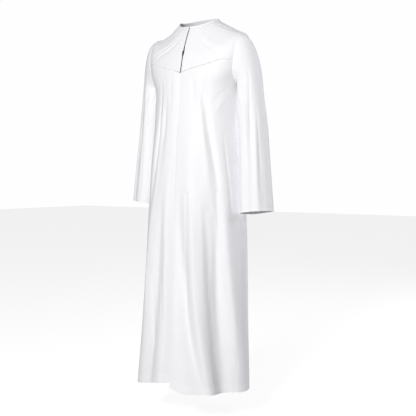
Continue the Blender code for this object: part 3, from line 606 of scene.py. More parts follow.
def front_sheet(side):
    """One front, from under the yoke seam to the hem."""
    base = panel_rows(YOKE_SIDE_DROP, ARMHOLE_BOTTOM_DROP, HEM_DROP, FRONT_ROWS)[:, None]
    run = (base - YOKE_SIDE_DROP) / (HEM_DROP - YOKE_SIDE_DROP)
    outer = seam_angle(base, -1)
    edge = lap_edge_angle(base)
    spread = np.linspace(0.0, 1.0, FRONT_COLUMNS)[None, :] ** FRONT_COLUMN_POWER
    angle = mix(side * edge, outer, spread)
    if side < 0:
        under = -edge - LAP_TUCK * np.linspace(1.0, 0.0, UNDERLAP_COLUMNS, endpoint=False)[None, :]
        angle = np.concatenate((under, angle), axis=1)
    drop = base + (yoke_dip(angle, outer) + YOKE_SEAM_GAP) * np.maximum(1.0 - run * YOKE_DIP_FADE, 0.0)
    drop = drop - (HEM_DROP - hem_drop(side * angle, side)) * run ** 3
    if side < 0:
        angle, drop = -angle[:, ::-1], drop[:, ::-1]
    name = "front_cloth_left" if side > 0 else "front_cloth_right"
    piece = body_sheet(name, angle, drop, side, HEM_HEIGHT, YOKE_STEP)
    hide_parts("front_left" if side > 0 else "front_right")
    return piece


fronts = [front_sheet(side) for side in (-1, 1)]

# %% [markdown]
# ## Back
# The back is one panel from side seam to side seam, and it wraps over the shoulders to meet
# the yokes. It could be two panels with a seam down the middle, but the photograph doesn't
# show it, so it is kept plain, with folds like the front's.

# %% Back
SHOULDER_ROWS = 40
BACK_ROWS = 290
BACK_COLUMNS = 140


def back_sheet():
    """The back, from one shoulder and side seam round to the other."""
    upper = np.linspace(LEVELS[0][0], ARMHOLE_TOP_DROP, SHOULDER_ROWS, endpoint=False)
    lower = panel_rows(ARMHOLE_TOP_DROP, ARMHOLE_BOTTOM_DROP, HEM_DROP, BACK_ROWS)
    base = np.concatenate((upper, lower))[:, None]
    start = seam_angle(base, 1)
    angle = mix(start, 360.0 - start, np.linspace(0.0, 1.0, BACK_COLUMNS)[None, :])
    piece = body_sheet("back_cloth", angle, base + 0.0 * angle, 0, HEM_HEIGHT)
    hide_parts("back")
    return piece


back = back_sheet()

# %% [markdown]
# ## Sleeves
# The sleeves are set in and hang nearly straight. A bent cylinder would miss the armhole's
# oval, so each sleeve is a tube of rings whose head is a smooth curve from the armhole's own
# edge over the end of the shoulder. Its creases are paths as on the body, with angles round
# the sleeve: 0 faces out and 90 faces the front.

# %% Sleeve surface
SLEEVE_COLUMNS = ("drop", "centre_x", "centre_y", "half_long", "half_short", "turn", "tilt")
SLEEVES = (
    (0.208, 0.2245, 0.002, 0.0475, 0.0400, 58, 15),
    (0.260, 0.2290, 0.000, 0.0500, 0.0405, 48, 7),
    (0.340, 0.2360, -0.003, 0.053, 0.0410, 42, 5),
    (0.460, 0.2460, -0.009, 0.056, 0.0420, 38, 4),
    (0.570, 0.2550, -0.015, 0.059, 0.0420, 36, 4),
    (0.690, 0.2645, -0.020, 0.0625, 0.0430, 36, 4),
)
LEFT_CUFF_DROP = 0.681
RIGHT_CUFF_DROP = 0.655
CUFF_SAG = 0.011
CUFF_SAG_TURN = 234.0
CUFF_SAG_WIDTH = 90.0
SLEEVE_FOLD_COLUMNS = ("top_drop", "angle_top", "angle_end", "full_drop", "depth", "width")
SLEEVE_FOLDS = (
    (0.20, 286, 262, 0.40, -0.007, 20),
    (0.24, 250, 232, 0.45, 0.004, 20),
    (0.22, 330, 318, 0.42, 0.005, 22),
    (0.22, 60, 74, 0.42, -0.006, 22),
    (0.26, 128, 140, 0.46, -0.006, 24),
    (0.30, 10, 16, 0.50, -0.004, 20),
)
SLEEVE_CREASES = (
    (-0.0026, 0.006, ((60, 0.170), (62, 0.230), (66, 0.310), (70, 0.400), (72, 0.480))),
    (0.0020, 0.006, ((84, 0.180), (88, 0.250), (94, 0.330), (98, 0.420))),
    (-0.0022, 0.006, ((30, 0.300), (26, 0.400), (24, 0.500), (26, 0.600))),
    (0.0018, 0.007, ((44, 0.360), (44, 0.470), (46, 0.580), (47, 0.660))),
    (-0.0020, 0.006, ((100, 0.420), (104, 0.510), (106, 0.600), (104, 0.670))),
    (-0.0022, 0.005, ((120, 0.215), (104, 0.240), (86, 0.280))),
    (-0.0018, 0.005, ((140, 0.250), (122, 0.290), (108, 0.350))),
    (-0.0022, 0.007, ((330, 0.210), (322, 0.300), (316, 0.420), (312, 0.540))),
    (-0.0020, 0.006, ((286, 0.260), (280, 0.360), (276, 0.480), (276, 0.620))),
    (0.0018, 0.007, ((300, 0.300), (296, 0.420), (294, 0.560))),
    (-0.0018, 0.006, ((240, 0.230), (252, 0.270), (262, 0.330))),
    (-0.0016, 0.006, ((350, 0.420), (346, 0.530), (350, 0.640))),
    (-0.0018, 0.006, ((196, 0.300), (194, 0.430), (198, 0.560))),
    (0.0014, 0.005, ((12, 0.150), (6, 0.200), (4, 0.260))),
)
SLEEVE_DEGREE = 0.00088
SLEEVE_HEAD_SHARE = 0.40
HEAD_DIP = 0.35
HEAD_START_PULL = 0.9
HEAD_LEAST_PULL = 0.35
HEAD_END_PULL = 0.8
HEAD_RUN_STEP = 0.02
SLEEVE_FACING_TURN = 2.0
SLEEVE_FACING_RUN = 0.006
ARMHOLE_GAP = 0.0002
SLEEVE_CURVES = table_curves(SLEEVE_COLUMNS, SLEEVES)


def armhole_point(turn):
    """The left armhole's edge: turn 0 is its top, 90 its front and 270 its back."""
    share = 0.5 * (1.0 - np.cos(np.radians(turn)))
    drop = mix(ARMHOLE_TOP_DROP, ARMHOLE_BOTTOM_DROP, share)
    aside = ARMHOLE_HALF_ANGLE * np.sin(np.radians(turn))
    return body_surface(mix(ARMHOLE_TOP_ANGLE, ARMHOLE_BOTTOM_ANGLE, share) - aside, drop, creased=False)


def sleeve_ring(turn, drop):
    """Points of the left sleeve below its head."""
    ring = {name: read_curve(curve, drop) for name, curve in SLEEVE_CURVES.items()}
    axis_turn = np.radians(ring["turn"])
    way = np.radians(turn)
    direction = np.stack((np.cos(way) + 0.0 * drop, -np.sin(way) + 0.0 * drop), -1)
    along = direction[..., 0] * np.cos(axis_turn) + direction[..., 1] * np.sin(axis_turn)
    aside = -direction[..., 0] * np.sin(axis_turn) + direction[..., 1] * np.cos(axis_turn)
    radius = 1.0 / np.sqrt((along / ring["half_long"]) ** 2 + (aside / ring["half_short"]) ** 2)
    for row in SLEEVE_FOLDS:
        fold = dict(zip(SLEEVE_FOLD_COLUMNS, row))
        growth = soft_step(fold["top_drop"], fold["full_drop"], drop)
        run = np.clip((drop - fold["top_drop"]) / (LEFT_CUFF_DROP - fold["top_drop"]), 0.0, 1.0)
        middle = mix(fold["angle_top"], fold["angle_end"], run)
        radius = radius + fold["depth"] * growth * hump(angle_gap(turn, middle), fold["width"])
    x = ring["centre_x"] + direction[..., 0] * radius
    y = ring["centre_y"] + direction[..., 1] * radius
    z = -drop + np.tan(np.radians(ring["tilt"])) * direction[..., 0] * radius
    return np.stack((x, y, z), -1)


def sleeve_surface(turn, run, cuff_drop):
    """Points of the left sleeve, from the armhole at run 0 to the cuff at 1."""
    ring_drop = SLEEVES[0][0]
    edge = armhole_point(turn + 0.0 * run)
    ring = sleeve_ring(turn + 0.0 * run, ring_drop + 0.0 * run)
    below = sleeve_ring(turn + 0.0 * run, ring_drop + HEAD_RUN_STEP + 0.0 * run)
    outward = unit(np.array((1.0, 0.0, -HEAD_DIP)))
    gap = np.linalg.norm(ring - edge, axis=-1)[..., None]
    pull = mix(HEAD_LEAST_PULL, 1.0, np.maximum(np.cos(np.radians(turn + 0.0 * run)), 0.0))[..., None]
    start_pull = outward * gap * HEAD_START_PULL * pull
    end_pull = unit(below - ring) * gap * HEAD_END_PULL
    share = np.clip(run / SLEEVE_HEAD_SHARE, 0.0, 1.0)[..., None] + 0.0 * gap
    square = share * share
    cube = square * share
    head = (2.0 * cube - 3.0 * square + 1.0) * edge + (cube - 2.0 * square + share) * start_pull
    head = head + (3.0 * square - 2.0 * cube) * ring + (cube - square) * end_pull
    head = head + outward * ARMHOLE_GAP * (1.0 - share)
    low = np.clip((run - SLEEVE_HEAD_SHARE) / (1.0 - SLEEVE_HEAD_SHARE), 0.0, 1.0)
    end_drop = cuff_drop + CUFF_SAG * hump(angle_gap(turn, CUFF_SAG_TURN), CUFF_SAG_WIDTH)
    tube = sleeve_ring(turn + 0.0 * run, mix(ring_drop, end_drop, low))
    return np.where((run + 0.0 * turn)[..., None] < SLEEVE_HEAD_SHARE, head, tube)


def sleeve_facing(turn, run, cuff_drop):
    """The outward direction of the sleeve's surface."""
    after = sleeve_surface(turn + SLEEVE_FACING_TURN, run, cuff_drop)
    around = after - sleeve_surface(turn - SLEEVE_FACING_TURN, run, cuff_drop)
    high = np.minimum(run + SLEEVE_FACING_RUN, 1.0)
    low = np.maximum(run - SLEEVE_FACING_RUN, 0.0)
    down = sleeve_surface(turn, high, cuff_drop) - sleeve_surface(turn, low, cuff_drop)
    return unit(np.cross(around, down))


# %% [markdown]
# ## Both sleeves
# One function makes either sleeve. The right one is the left one turned over, but it is
# drawn up a little more, so its cuff ends higher. Mirroring the finished mesh would also
# turn its faces inside out, so the grid is laid the other way round first.

# %% Both sleeves
SLEEVE_ROWS = 190
SLEEVE_SIDES = 110
SLEEVE_CREASE_START = 0.03
SLEEVE_CREASE_FULL = 0.16


def sleeve_sheet(side):
    """A sleeve, from the armhole to the cuff. The right one is the left one turned over."""
    cuff_drop = LEFT_CUFF_DROP if side > 0 else RIGHT_CUFF_DROP
    run = np.linspace(0.0, 1.0, SLEEVE_ROWS)[:, None]
    turn = np.linspace(0.0, 360.0, SLEEVE_SIDES + 1)[None, :]
    if side > 0:
        turn = turn[:, ::-1]
    points = sleeve_surface(turn, run, cuff_drop)
    facing = sleeve_facing(turn, run, cuff_drop)
    fade = soft_step(SLEEVE_CREASE_START, SLEEVE_CREASE_FULL, run)
    creases = crease_height(turn + 0.0 * run, -points[..., 2], SLEEVE_CREASES, SLEEVE_DEGREE) * fade
    down = cloth_lengths(points)[1]
    points = points + facing * creases[..., None]
    points[..., 0] -= SLEEVE_TUCK * hump(down[:1] - down, SEAM_GROOVE_WIDTH)
    flip = np.array((side, 1.0, 1.0))
    name = "sleeve_cloth_left" if side > 0 else "sleeve_cloth_right"
    thickness = turned_thickness(points, CUFF_HEM_HEIGHT)[..., None]
    piece = sheet_piece(name, points * flip, (points - facing * thickness) * flip, closed=True)
    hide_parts("sleeve_left" if side > 0 else "sleeve_right")
    return piece


sleeves = [sleeve_sheet(side) for side in (-1, 1)]

# %% [markdown]
# ## Neck binding
# A narrow strip is folded over the neck edge and stitched down. Inside the neck its free
# edge hangs a little lower, and shows where the far side is seen through the opening. A
# curve with a bevel would twist at the slit. Here the strip's cross-section, two legs and a
# round top, is drawn once and repeated at every angle, so it stays upright all the way.

# %% Bind the neck
BINDING_WIDTH = 0.008
BINDING_THICKNESS = 0.0032
BINDING_LAYER = 0.0007
BINDING_SINK = 0.0007
BINDING_UNDERLAP = 0.0012
BINDING_HANG = 0.011
BINDING_HANG_START = 12.0
BINDING_HANG_FULL = 34.0
BINDING_UPRIGHT = 0.8
BINDING_SLOPE_STEP = 0.006
BINDING_PUCKERS = ((0.00022, 61.0, 0.0), (0.00015, 37.0, 1.0))
BINDING_COLUMNS = 360
BINDING_LEG_ROWS = 8
BINDING_TOP_ROWS = 9


def binding_frame(angle):
    """The neck edge, and the ways up along the strip and out of it."""
    neck_drop = LEVELS[0][0]
    edge = body_surface(angle, neck_drop, creased=False)
    below = body_surface(angle, neck_drop + BINDING_SLOPE_STEP, creased=False)
    upward = unit(unit(edge - below) + np.array((0.0, 0.0, BINDING_UPRIGHT)))
    return edge, upward, body_facing(angle, neck_drop + FACING_STEP, creased=False)


def bind_neck():
    """The strip round the neck, folded over its edge and open at the slit."""
    open_angle = float(SLIT_HALF_GAP / degree_length(0.0, LEVELS[0][0]))
    angle = np.linspace(open_angle, 360.0 - open_angle, BINDING_COLUMNS)[None, :]
    edge, upward, outward = binding_frame(angle)
    pucker = sum(size * np.sin(np.radians(angle) * count + start) for size, count, start in BINDING_PUCKERS)
    reach = 0.5 * (BINDING_THICKNESS - BINDING_LAYER)
    away = np.minimum(angle, 360.0 - angle)
    hang = mix(BINDING_UNDERLAP, BINDING_HANG, soft_step(BINDING_HANG_START, BINDING_HANG_FULL, away))
    leg = np.linspace(0.0, 1.0, BINDING_LEG_ROWS, endpoint=False)[:, None]
    top = np.linspace(180.0, 0.0, BINDING_TOP_ROWS)[:, None]
    shoulder = BINDING_WIDTH - reach + pucker
    inner_rise = mix(-hang, shoulder, leg)
    outer_rise = mix(-BINDING_UNDERLAP, shoulder, leg[::-1])
    rise = np.concatenate((inner_rise, shoulder + 0.0 * top, outer_rise))
    turn = np.radians(np.concatenate((180.0 + 0.0 * leg, top, 0.0 * leg)))[..., None]
    normal = outward * np.cos(turn) + upward * np.sin(turn)
    middle = edge + upward * rise[..., None] + normal * reach - outward * BINDING_SINK
    half = 0.5 * BINDING_LAYER * normal
    piece = sheet_piece("neck_binding_cloth", middle + half, middle - half)
    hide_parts("neck_binding")
    return piece


binding = bind_neck()

# %% [markdown]
# ## The zip
# Two woven tapes lie behind the slit, each with a row of metal teeth along its edge. Below
# the slider the rows mesh, so left and right teeth take turns. Above it they only lie side
# by side. Each tooth is one small bevelled block, repeated down the slit by one mesh.

# %% Zip tapes and teeth
WALL = 0.0020
TAPE_WIDTH = 0.012
TAPE_THICKNESS = 0.0007
TAPE_TOOTH_GAP = 0.0022
TAPE_TOP_DROP = 0.012
TAPE_DEPTH_GAP = 0.0006
TAPE_ROWS = 90
TAPE_COLUMNS = 16
ZIP_END_DROP = 0.166
TOOTH_PITCH = 0.0020
TOOTH_ALTERNATE = 0.25
TOOTH_SIZE = (0.0026, 0.0009, 0.0013)
TOOTH_SIZE_OPEN = (0.0024, 0.0009, 0.0013)
TOOTH_APART = 0.00095
TOOTH_APART_OPEN = 0.00145
TOOTH_DEPTH = 0.0021
TOOTH_BEVEL = 0.2
TEETH_START = 0.002
TEETH_END_MARGIN = 0.006
STOP_SIZE = (0.0050, 0.0026, 0.0016)
STOP_RISE = 0.003
SLIDER_ROOM = 0.0058


def zip_tape_sheet(side):
    """One woven tape, behind an edge of the slit."""
    drop = np.linspace(TAPE_TOP_DROP, ZIP_END_DROP, TAPE_ROWS)[:, None]
    reach = np.linspace(TAPE_TOOTH_GAP, TAPE_TOOTH_GAP + TAPE_WIDTH, TAPE_COLUMNS)[None, :]
    angle = reach / degree_length(0.0, drop)
    drop = drop + 0.0 * angle
    if side < 0:
        angle = -angle[:, ::-1]
    points = body_surface(angle, drop, creased=False)
    facing = body_facing(angle, drop, creased=False)
    depth = WALL + TAPE_DEPTH_GAP
    outer = points - facing * depth
    name = "zip_tape_cloth_left" if side > 0 else "zip_tape_cloth_right"
    piece = sheet_piece(name, outer, outer - facing * TAPE_THICKNESS)
    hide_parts("zip_tape_left" if side > 0 else "zip_tape_right")
    return piece


def small_block(bm, size, place, axes):
    """A block whose front and back are a little narrower, as if their rims were bevelled."""
    half = [0.5 * length for length in size]
    cut = TOOTH_BEVEL * min(half)
    shapes = ((half[0] - cut, half[1] - cut, half[2]), (half[0], half[1], half[2] - cut))
    rings = []
    for level in (-1, 1):
        for across, up, out in (shapes if level < 0 else shapes[::-1]):
            corners = ((-across, -up), (across, -up), (across, up), (-across, up))
            rings.append([bm.verts.new(place + axes @ Vector((x, y, level * out))) for x, y in corners])
    for low, high in zip(rings[:-1], rings[1:]):
        for index in range(4):
            after = (index + 1) % 4
            bm.faces.new((low[index], low[after], high[after], high[index]))
    bm.faces.new(rings[0][::-1])
    bm.faces.new(rings[-1])


def slit_axes(drop):
    """The place on the surface at the centre front, and axes across, up and out of it."""
    place = Vector(body_surface(0.0, drop, creased=False))
    outward = Vector(body_facing(0.0, drop, creased=False))
    across = Vector((1.0, 0.0, 0.0))
    upward = outward.cross(across).normalized()
    return place, Matrix((across, upward, across.cross(upward))).transposed()


def zip_teeth():
    """Both rows of teeth, and the stop that ends them."""
    bm = bmesh.new()
    count = int((ZIP_END_DROP - TAPE_TOP_DROP - TEETH_END_MARGIN) / TOOTH_PITCH)
    for index in range(count):
        for side in (-1, 1):
            drop = TAPE_TOP_DROP + TEETH_START + TOOTH_PITCH * (index + TOOTH_ALTERNATE * side)
            if abs(drop - SLIDER_DROP) < SLIDER_ROOM:
                continue
            is_open = drop < SLIDER_DROP
            apart = TOOTH_APART_OPEN if is_open else TOOTH_APART
            place, axes = slit_axes(drop)
            middle = place + axes @ Vector((side * apart, 0.0, -TOOTH_DEPTH))
            small_block(bm, TOOTH_SIZE_OPEN if is_open else TOOTH_SIZE, middle, axes)
    place, axes = slit_axes(ZIP_END_DROP - STOP_RISE)
    small_block(bm, STOP_SIZE, place + axes @ Vector((0.0, 0.0, -TOOTH_DEPTH)), axes)
    mesh = bpy.data.meshes.new("zip_teeth")
    bm.to_mesh(mesh)
    bm.free()
    piece = bpy.data.objects.new("zip_teeth", mesh)
    robe_pieces.objects.link(piece)
    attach(piece, "robe")
    print("zip teeth", 2 * count, "triangles", sum(len(face.vertices) - 2 for face in mesh.polygons))
    return piece


tapes = [zip_tape_sheet(side) for side in (-1, 1)]
teeth = zip_teeth()

# %% [markdown]
# ## Stitches
# Rows of thread hold the binding, the yoke seam, the slit, the lap and the hems. A dashed
# texture would vanish in the mesh, so every stitch is a tiny lozenge of thread, half sunk in
# the cloth. One function lays a row along any line of points on the cloth.

# %% Sew the rows
STITCH_PITCH = 0.0030
STITCH_LENGTH = 0.0023
THREAD_RADIUS = 0.00024
STITCH_SECTIONS = ((-1.0, 0.0), (-0.55, 1.0), (0.55, 1.0), (1.0, 0.0))
STITCH_PROUD = 0.4
STITCH_SUNK = -0.5
ROW_MARGIN = 0.6
SLIT_ROW_ASIDE = 0.0052
SLIT_ROW_DROPS = (0.010, 0.160)
YOKE_ROW_RISE = 0.0028
YOKE_ROW_START = 1.2
YOKE_ROW_END = 0.6
HEM_ROW_INSET = 0.002
LEFT_HEM_ROW_START = 8.0
LAP_ROW_ASIDE = 0.0048
LAP_ROW_TOP = 0.186
LAP_ROW_END_RISE = 0.03
BINDING_ROW_ENDS = (2.0, 358.0)
BINDING_ROW_RISE = 0.0016
BINDING_ROW_OUT = 0.00078
CUFF_ROW_INSET = 0.0012
SLIT_ROW_POINTS = 120
YOKE_ROW_POINTS = 160
FRONT_HEM_ROW_POINTS = 260
BACK_HEM_ROW_POINTS = 420
LAP_ROW_POINTS = 420
BINDING_ROW_POINTS = 500
CUFF_ROW_POINTS = 240


def stitch_row(points, facing):
    """Corner points and faces of a row of stitches along a line on the cloth."""
    lengths = np.concatenate(([0.0], np.cumsum(np.linalg.norm(np.diff(points, axis=0), axis=1))))
    margin = ROW_MARGIN * STITCH_PITCH
    centres = np.arange(margin, lengths[-1] - margin, STITCH_PITCH)
    half = 0.5 * STITCH_LENGTH

    def at(place):
        return np.stack([np.interp(place, lengths, points[:, axis]) for axis in range(3)], -1)

    middle = at(centres)
    along = unit(at(centres + half) - at(centres - half))
    out = unit(np.stack([np.interp(centres, lengths, facing[:, axis]) for axis in range(3)], -1))
    side = np.cross(along, out)
    verts = []
    for step, size in STITCH_SECTIONS:
        core = middle + along * half * step + out * THREAD_RADIUS * (STITCH_PROUD if size else STITCH_SUNK)
        if size:
            for turn in range(4):
                way = math.radians(45.0 + 90.0 * turn)
                verts.append(core + (side * math.cos(way) + out * math.sin(way)) * THREAD_RADIUS)
        else:
            verts.append(core)
    verts = np.stack(verts, 1)
    faces = []
    for turn in range(4):
        after = (turn + 1) % 4
        faces.append((0, 1 + after, 1 + turn, 1 + turn))
        faces.append((1 + turn, 1 + after, 5 + after, 5 + turn))
        faces.append((5 + turn, 5 + after, 9, 9))
    return verts, faces


def stitched_piece(name, rows):
    """One mesh from several rows of stitches."""
    verts = []
    faces = []
    for points, facing in rows:
        row_verts, pattern = stitch_row(points, facing)
        for stitch in row_verts:
            base = len(verts)
            verts.extend(stitch)
            for face in pattern:
                corners = []
                for corner in face:
                    if base + corner not in corners:
                        corners.append(base + corner)
                faces.append(corners)
    mesh = bpy.data.meshes.new(name)
    mesh.from_pydata([tuple(vert) for vert in verts], [], faces)
    mesh.shade_smooth()
    piece = bpy.data.objects.new(name, mesh)
    robe_pieces.objects.link(piece)
    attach(piece, "robe")
    print(name, "stitches", len(verts) // 10)
    return piece


def body_row(angle, drop, side=0):
    """A line on the body and the way out of the cloth there."""
    angle, drop = np.broadcast_arrays(np.asarray(angle, float), np.asarray(drop, float))
    return body_surface(angle, drop, side), body_facing(angle, drop, side)


def yoke_rows():
    """Rows along the yoke seam and beside the slit."""
    rows = []
    outer = float(seam_angle(np.array(YOKE_SIDE_DROP), -1))
    slit_drop = np.linspace(*SLIT_ROW_DROPS, SLIT_ROW_POINTS)
    slit_angle = (slit_half_gap(slit_drop) + SLIT_ROW_ASIDE) / degree_length(0.0, slit_drop)
    seam = np.linspace(YOKE_ROW_START, outer - YOKE_ROW_END, YOKE_ROW_POINTS)
    for side in (-1, 1):
        rows.append(body_row(side * slit_angle, slit_drop))
        rows.append(body_row(side * seam, YOKE_SIDE_DROP + yoke_dip(seam, outer) - YOKE_ROW_RISE))
    return rows


def hem_rows():
    """Rows that hold the turned hem of the fronts and the back."""
    rows = []
    for side, start in ((-1, 0.0), (1, LEFT_HEM_ROW_START)):
        angle = side * np.linspace(start, HEM_SEAM_ANGLE, FRONT_HEM_ROW_POINTS)
        rows.append(body_row(angle, hem_drop(angle, side) - HEM_HEIGHT + HEM_ROW_INSET, side))
    angle = np.linspace(HEM_SEAM_ANGLE, 360.0 - HEM_SEAM_ANGLE, BACK_HEM_ROW_POINTS)
    rows.append(body_row(angle, HEM_DROP - HEM_HEIGHT + HEM_ROW_INSET))
    return rows


def lap_rows():
    """The row beside the left front's free edge."""
    drop = np.linspace(LAP_ROW_TOP, HEM_DROP - LAP_ROW_END_RISE, LAP_ROW_POINTS)
    aside = LAP_ROW_ASIDE / degree_length(LAP_EDGE_END_ANGLE, drop)
    return [body_row(lap_edge_angle(drop) + aside, drop, 1)]


def binding_rows():
    """The row that closes the neck binding, low on its outer face."""
    angle = np.linspace(*BINDING_ROW_ENDS, BINDING_ROW_POINTS)
    edge, upward, outward = binding_frame(angle)
    return [(edge + upward * BINDING_ROW_RISE + outward * BINDING_ROW_OUT, outward)]


def cuff_rows(side):
    """The row that holds a cuff's turned hem."""
    cuff_drop = LEFT_CUFF_DROP if side > 0 else RIGHT_CUFF_DROP
    span = cuff_drop - SLEEVES[0][0]
    run = 1.0 - (1.0 - SLEEVE_HEAD_SHARE) * (CUFF_HEM_HEIGHT - CUFF_ROW_INSET) / span
    turn = np.linspace(0.0, 360.0, CUFF_ROW_POINTS)
    run = np.full(turn.shape, run)
    points = sleeve_surface(turn, run, cuff_drop)
    facing = sleeve_facing(turn, run, cuff_drop)
    points = points + facing * crease_height(turn, -points[..., 2], SLEEVE_CREASES, SLEEVE_DEGREE)[..., None]
    flip = np.array((side, 1.0, 1.0))
    return [(points * flip, facing * flip)]


yoke_stitches = stitched_piece("yoke_stitches", yoke_rows())
hem_stitches = stitched_piece("hem_stitches", hem_rows())
lap_stitches = stitched_piece("lap_stitches", lap_rows())
binding_stitches = stitched_piece("binding_stitches", binding_rows())
cuff_stitches = stitched_piece("cuff_stitches", cuff_rows(-1) + cuff_rows(1))

# %% [markdown]
# ## Shader node groups
# Some effects serve several materials, so each is a node group with named sockets, built
# once. Copies of the same nodes in each material would be hard to keep alike. These small
# helpers make the groups and their nodes.

# %% Helpers for node groups
def new_group(name, inputs, outputs):
    """An empty shader node group with named sockets, and its first and last node."""
    group = bpy.data.node_groups.new(name, "ShaderNodeTree")
    for label, kind, value in inputs:
        socket = group.interface.new_socket(name=label, in_out="INPUT", socket_type=kind)
        if value is not None:
            socket.default_value = value
    for label in outputs:
        group.interface.new_socket(name=label, in_out="OUTPUT", socket_type="NodeSocketFloat")
    return group, group.nodes.new("NodeGroupInput"), group.nodes.new("NodeGroupOutput")


def maths(tree, operation, *values):
    """A Math node fed by sockets or plain numbers. It returns its result."""
    node = tree.nodes.new("ShaderNodeMath")
    node.operation = operation
    for index, value in enumerate(values):
        if isinstance(value, (int, float)):
            node.inputs[index].default_value = value
        else:
            tree.links.new(value, node.inputs[index])
    return node.outputs[0]


def noise(tree, vector, scale, detail=2.0, roughness=0.5):
    """A noise texture's value, from 0 to 1."""
    node = tree.nodes.new("ShaderNodeTexNoise")
    node.inputs["Detail"].default_value = detail
    node.inputs["Roughness"].default_value = roughness
    if isinstance(scale, (int, float)):
        node.inputs["Scale"].default_value = scale
    else:
        tree.links.new(scale, node.inputs["Scale"])
    tree.links.new(vector, node.inputs["Vector"])
    return node.outputs["Fac"]


def stretched(tree, vector, x, y):
    """A vector with its X and Y scaled."""
    node = tree.nodes.new("ShaderNodeVectorMath")
    node.operation = "MULTIPLY"
    tree.links.new(vector, node.inputs[0])
    node.inputs[1].default_value = (x, y, 1.0)
    return node.outputs[0]


# %% [markdown]
# ## Weave, press mottle and turned hem
# The weave is two crossing rows of threads with slubs, with painted shade in the low places
# between them. The press mottle is the soft unevenness that is left after ironing. The turned
# hem marks the doubled band above an edge. Each group puts out only masks, tones, painted
# shade and heights, and the shader stays in the material.

# %% Weave, press mottle and turned hem
THREADS_A_METRE = 1800.0
TAPE_THREADS_A_METRE = 900.0
SLUB = 0.35
SLUB_ACROSS = 900.0
SLUB_ALONG = 14.0
CROSSING_HEIGHT = 0.25
PATCH_SCALE = 5.0
RUMPLE_SCALE = 26.0
RUMPLE_STRETCH = 0.38
HEM_EDGE = 0.0006
STITCH_DENT_WIDTH = 0.0016


def make_weave():
    """Crossing threads: a height for the bump, and painted shade for the colour, darker where the threads
    dip.
    """
    inputs = (
        ("Map", "NodeSocketVector", None),
        ("Threads", "NodeSocketFloat", THREADS_A_METRE),
        ("Slub", "NodeSocketFloat", SLUB),
    )
    group, start, end = new_group("plain_weave", inputs, ("Height", "Painted Shade"))
    parts = group.nodes.new("ShaderNodeSeparateXYZ")
    group.links.new(start.outputs["Map"], parts.inputs[0])
    waves = []
    for axis in ("X", "Y"):
        turn = maths(group, "MULTIPLY", parts.outputs[axis], start.outputs["Threads"])
        waves.append(maths(group, "SINE", maths(group, "MULTIPLY", turn, math.pi)))
    cross = maths(group, "MULTIPLY", waves[0], waves[1])
    warp = noise(group, stretched(group, start.outputs["Map"], SLUB_ACROSS, SLUB_ALONG), 1.0, 1.0)
    weft = noise(group, stretched(group, start.outputs["Map"], SLUB_ALONG, SLUB_ACROSS), 1.0, 1.0)
    slubs = maths(group, "MULTIPLY", maths(group, "ADD", warp, weft), start.outputs["Slub"])
    height = maths(group, "ADD", maths(group, "MULTIPLY", cross, CROSSING_HEIGHT), slubs)
    group.links.new(height, end.inputs["Height"])
    # Painted shade: the colour follows the threads' height, so it is darker where they dip.
    group.links.new(maths(group, "ADD", maths(group, "MULTIPLY", cross, 0.5), 0.5), end.inputs["Painted Shade"])
    return group


def make_press_mottle():
    """The uneven softness of ironed cloth: broad patches and small rumples."""
    inputs = (
        ("Map", "NodeSocketVector", None),
        ("Patch Scale", "NodeSocketFloat", PATCH_SCALE),
        ("Rumple Scale", "NodeSocketFloat", RUMPLE_SCALE),
    )
    group, start, end = new_group("press_mottle", inputs, ("Patch", "Rumple"))
    patch = noise(group, start.outputs["Map"], start.outputs["Patch Scale"], 3.0)
    group.links.new(patch, end.inputs["Patch"])
    long_map = stretched(group, start.outputs["Map"], 1.0, RUMPLE_STRETCH)
    rumple = noise(group, long_map, start.outputs["Rumple Scale"], 2.0, 0.45)
    group.links.new(rumple, end.inputs["Rumple"])
    return group


def make_turned_hem():
    """A mask for the doubled band above an edge, and the dent of its stitch line."""
    inputs = (("Map", "NodeSocketVector", None), ("Band", "NodeSocketFloat", HEM_HEIGHT))
    group, start, end = new_group("turned_hem", inputs, ("Band", "Dent"))
    parts = group.nodes.new("ShaderNodeSeparateXYZ")
    group.links.new(start.outputs["Map"], parts.inputs[0])
    below = maths(group, "SUBTRACT", start.outputs["Band"], parts.outputs["Y"])
    step = group.nodes.new("ShaderNodeMapRange")
    step.interpolation_type = "SMOOTHSTEP"
    step.inputs["From Min"].default_value = -HEM_EDGE
    step.inputs["From Max"].default_value = HEM_EDGE
    group.links.new(below, step.inputs["Value"])
    group.links.new(step.outputs["Result"], end.inputs["Band"])
    gap = maths(group, "ABSOLUTE", maths(group, "SUBTRACT", below, HEM_ROW_INSET))
    share = maths(group, "MINIMUM", maths(group, "DIVIDE", gap, STITCH_DENT_WIDTH), 1.0)
    group.links.new(maths(group, "SUBTRACT", 1.0, share), end.inputs["Dent"])
    return group


weave_group = make_weave()
mottle_group = make_press_mottle()
hem_group = make_turned_hem()
print("groups", [group.name for group in (weave_group, mottle_group, hem_group)])

# %% [markdown]
# ## White cotton
# The cloth is an opaque, slightly satin white. Its shine comes from a little sheen and a
# middling roughness. The colour moves by one or two parts in a hundred in random patches,
# the weave paints a little shade into the low places between its threads, a doubled hem is a
# touch whiter because less of the dark inside shows through, and the bump carries the
# rumples, the weave and the stitch line.

# %% Cloth materials
SHEEN_ROUGHNESS = 0.4


def group_node(material, group, **values):
    """Place a group in a material and set its plain inputs."""
    node = material.node_tree.nodes.new("ShaderNodeGroup")
    node.node_tree = group
    for label, value in values.items():
        node.inputs[label.replace("_", " ")].default_value = value
    return node


def new_material(name, roughness, metallic=0.0, sheen=0.0, specular=0.5):
    """A Principled material with its constant sockets set, and its parts."""
    material = bpy.data.materials.new(name)
    material.use_nodes = True
    shader = material.node_tree.nodes["Principled BSDF"]
    shader.inputs["Roughness"].default_value = roughness
    shader.inputs["Metallic"].default_value = metallic
    shader.inputs["Sheen Weight"].default_value = sheen
    shader.inputs["Sheen Roughness"].default_value = SHEEN_ROUGHNESS
    shader.inputs["Specular IOR Level"].default_value = specular
    return material, shader


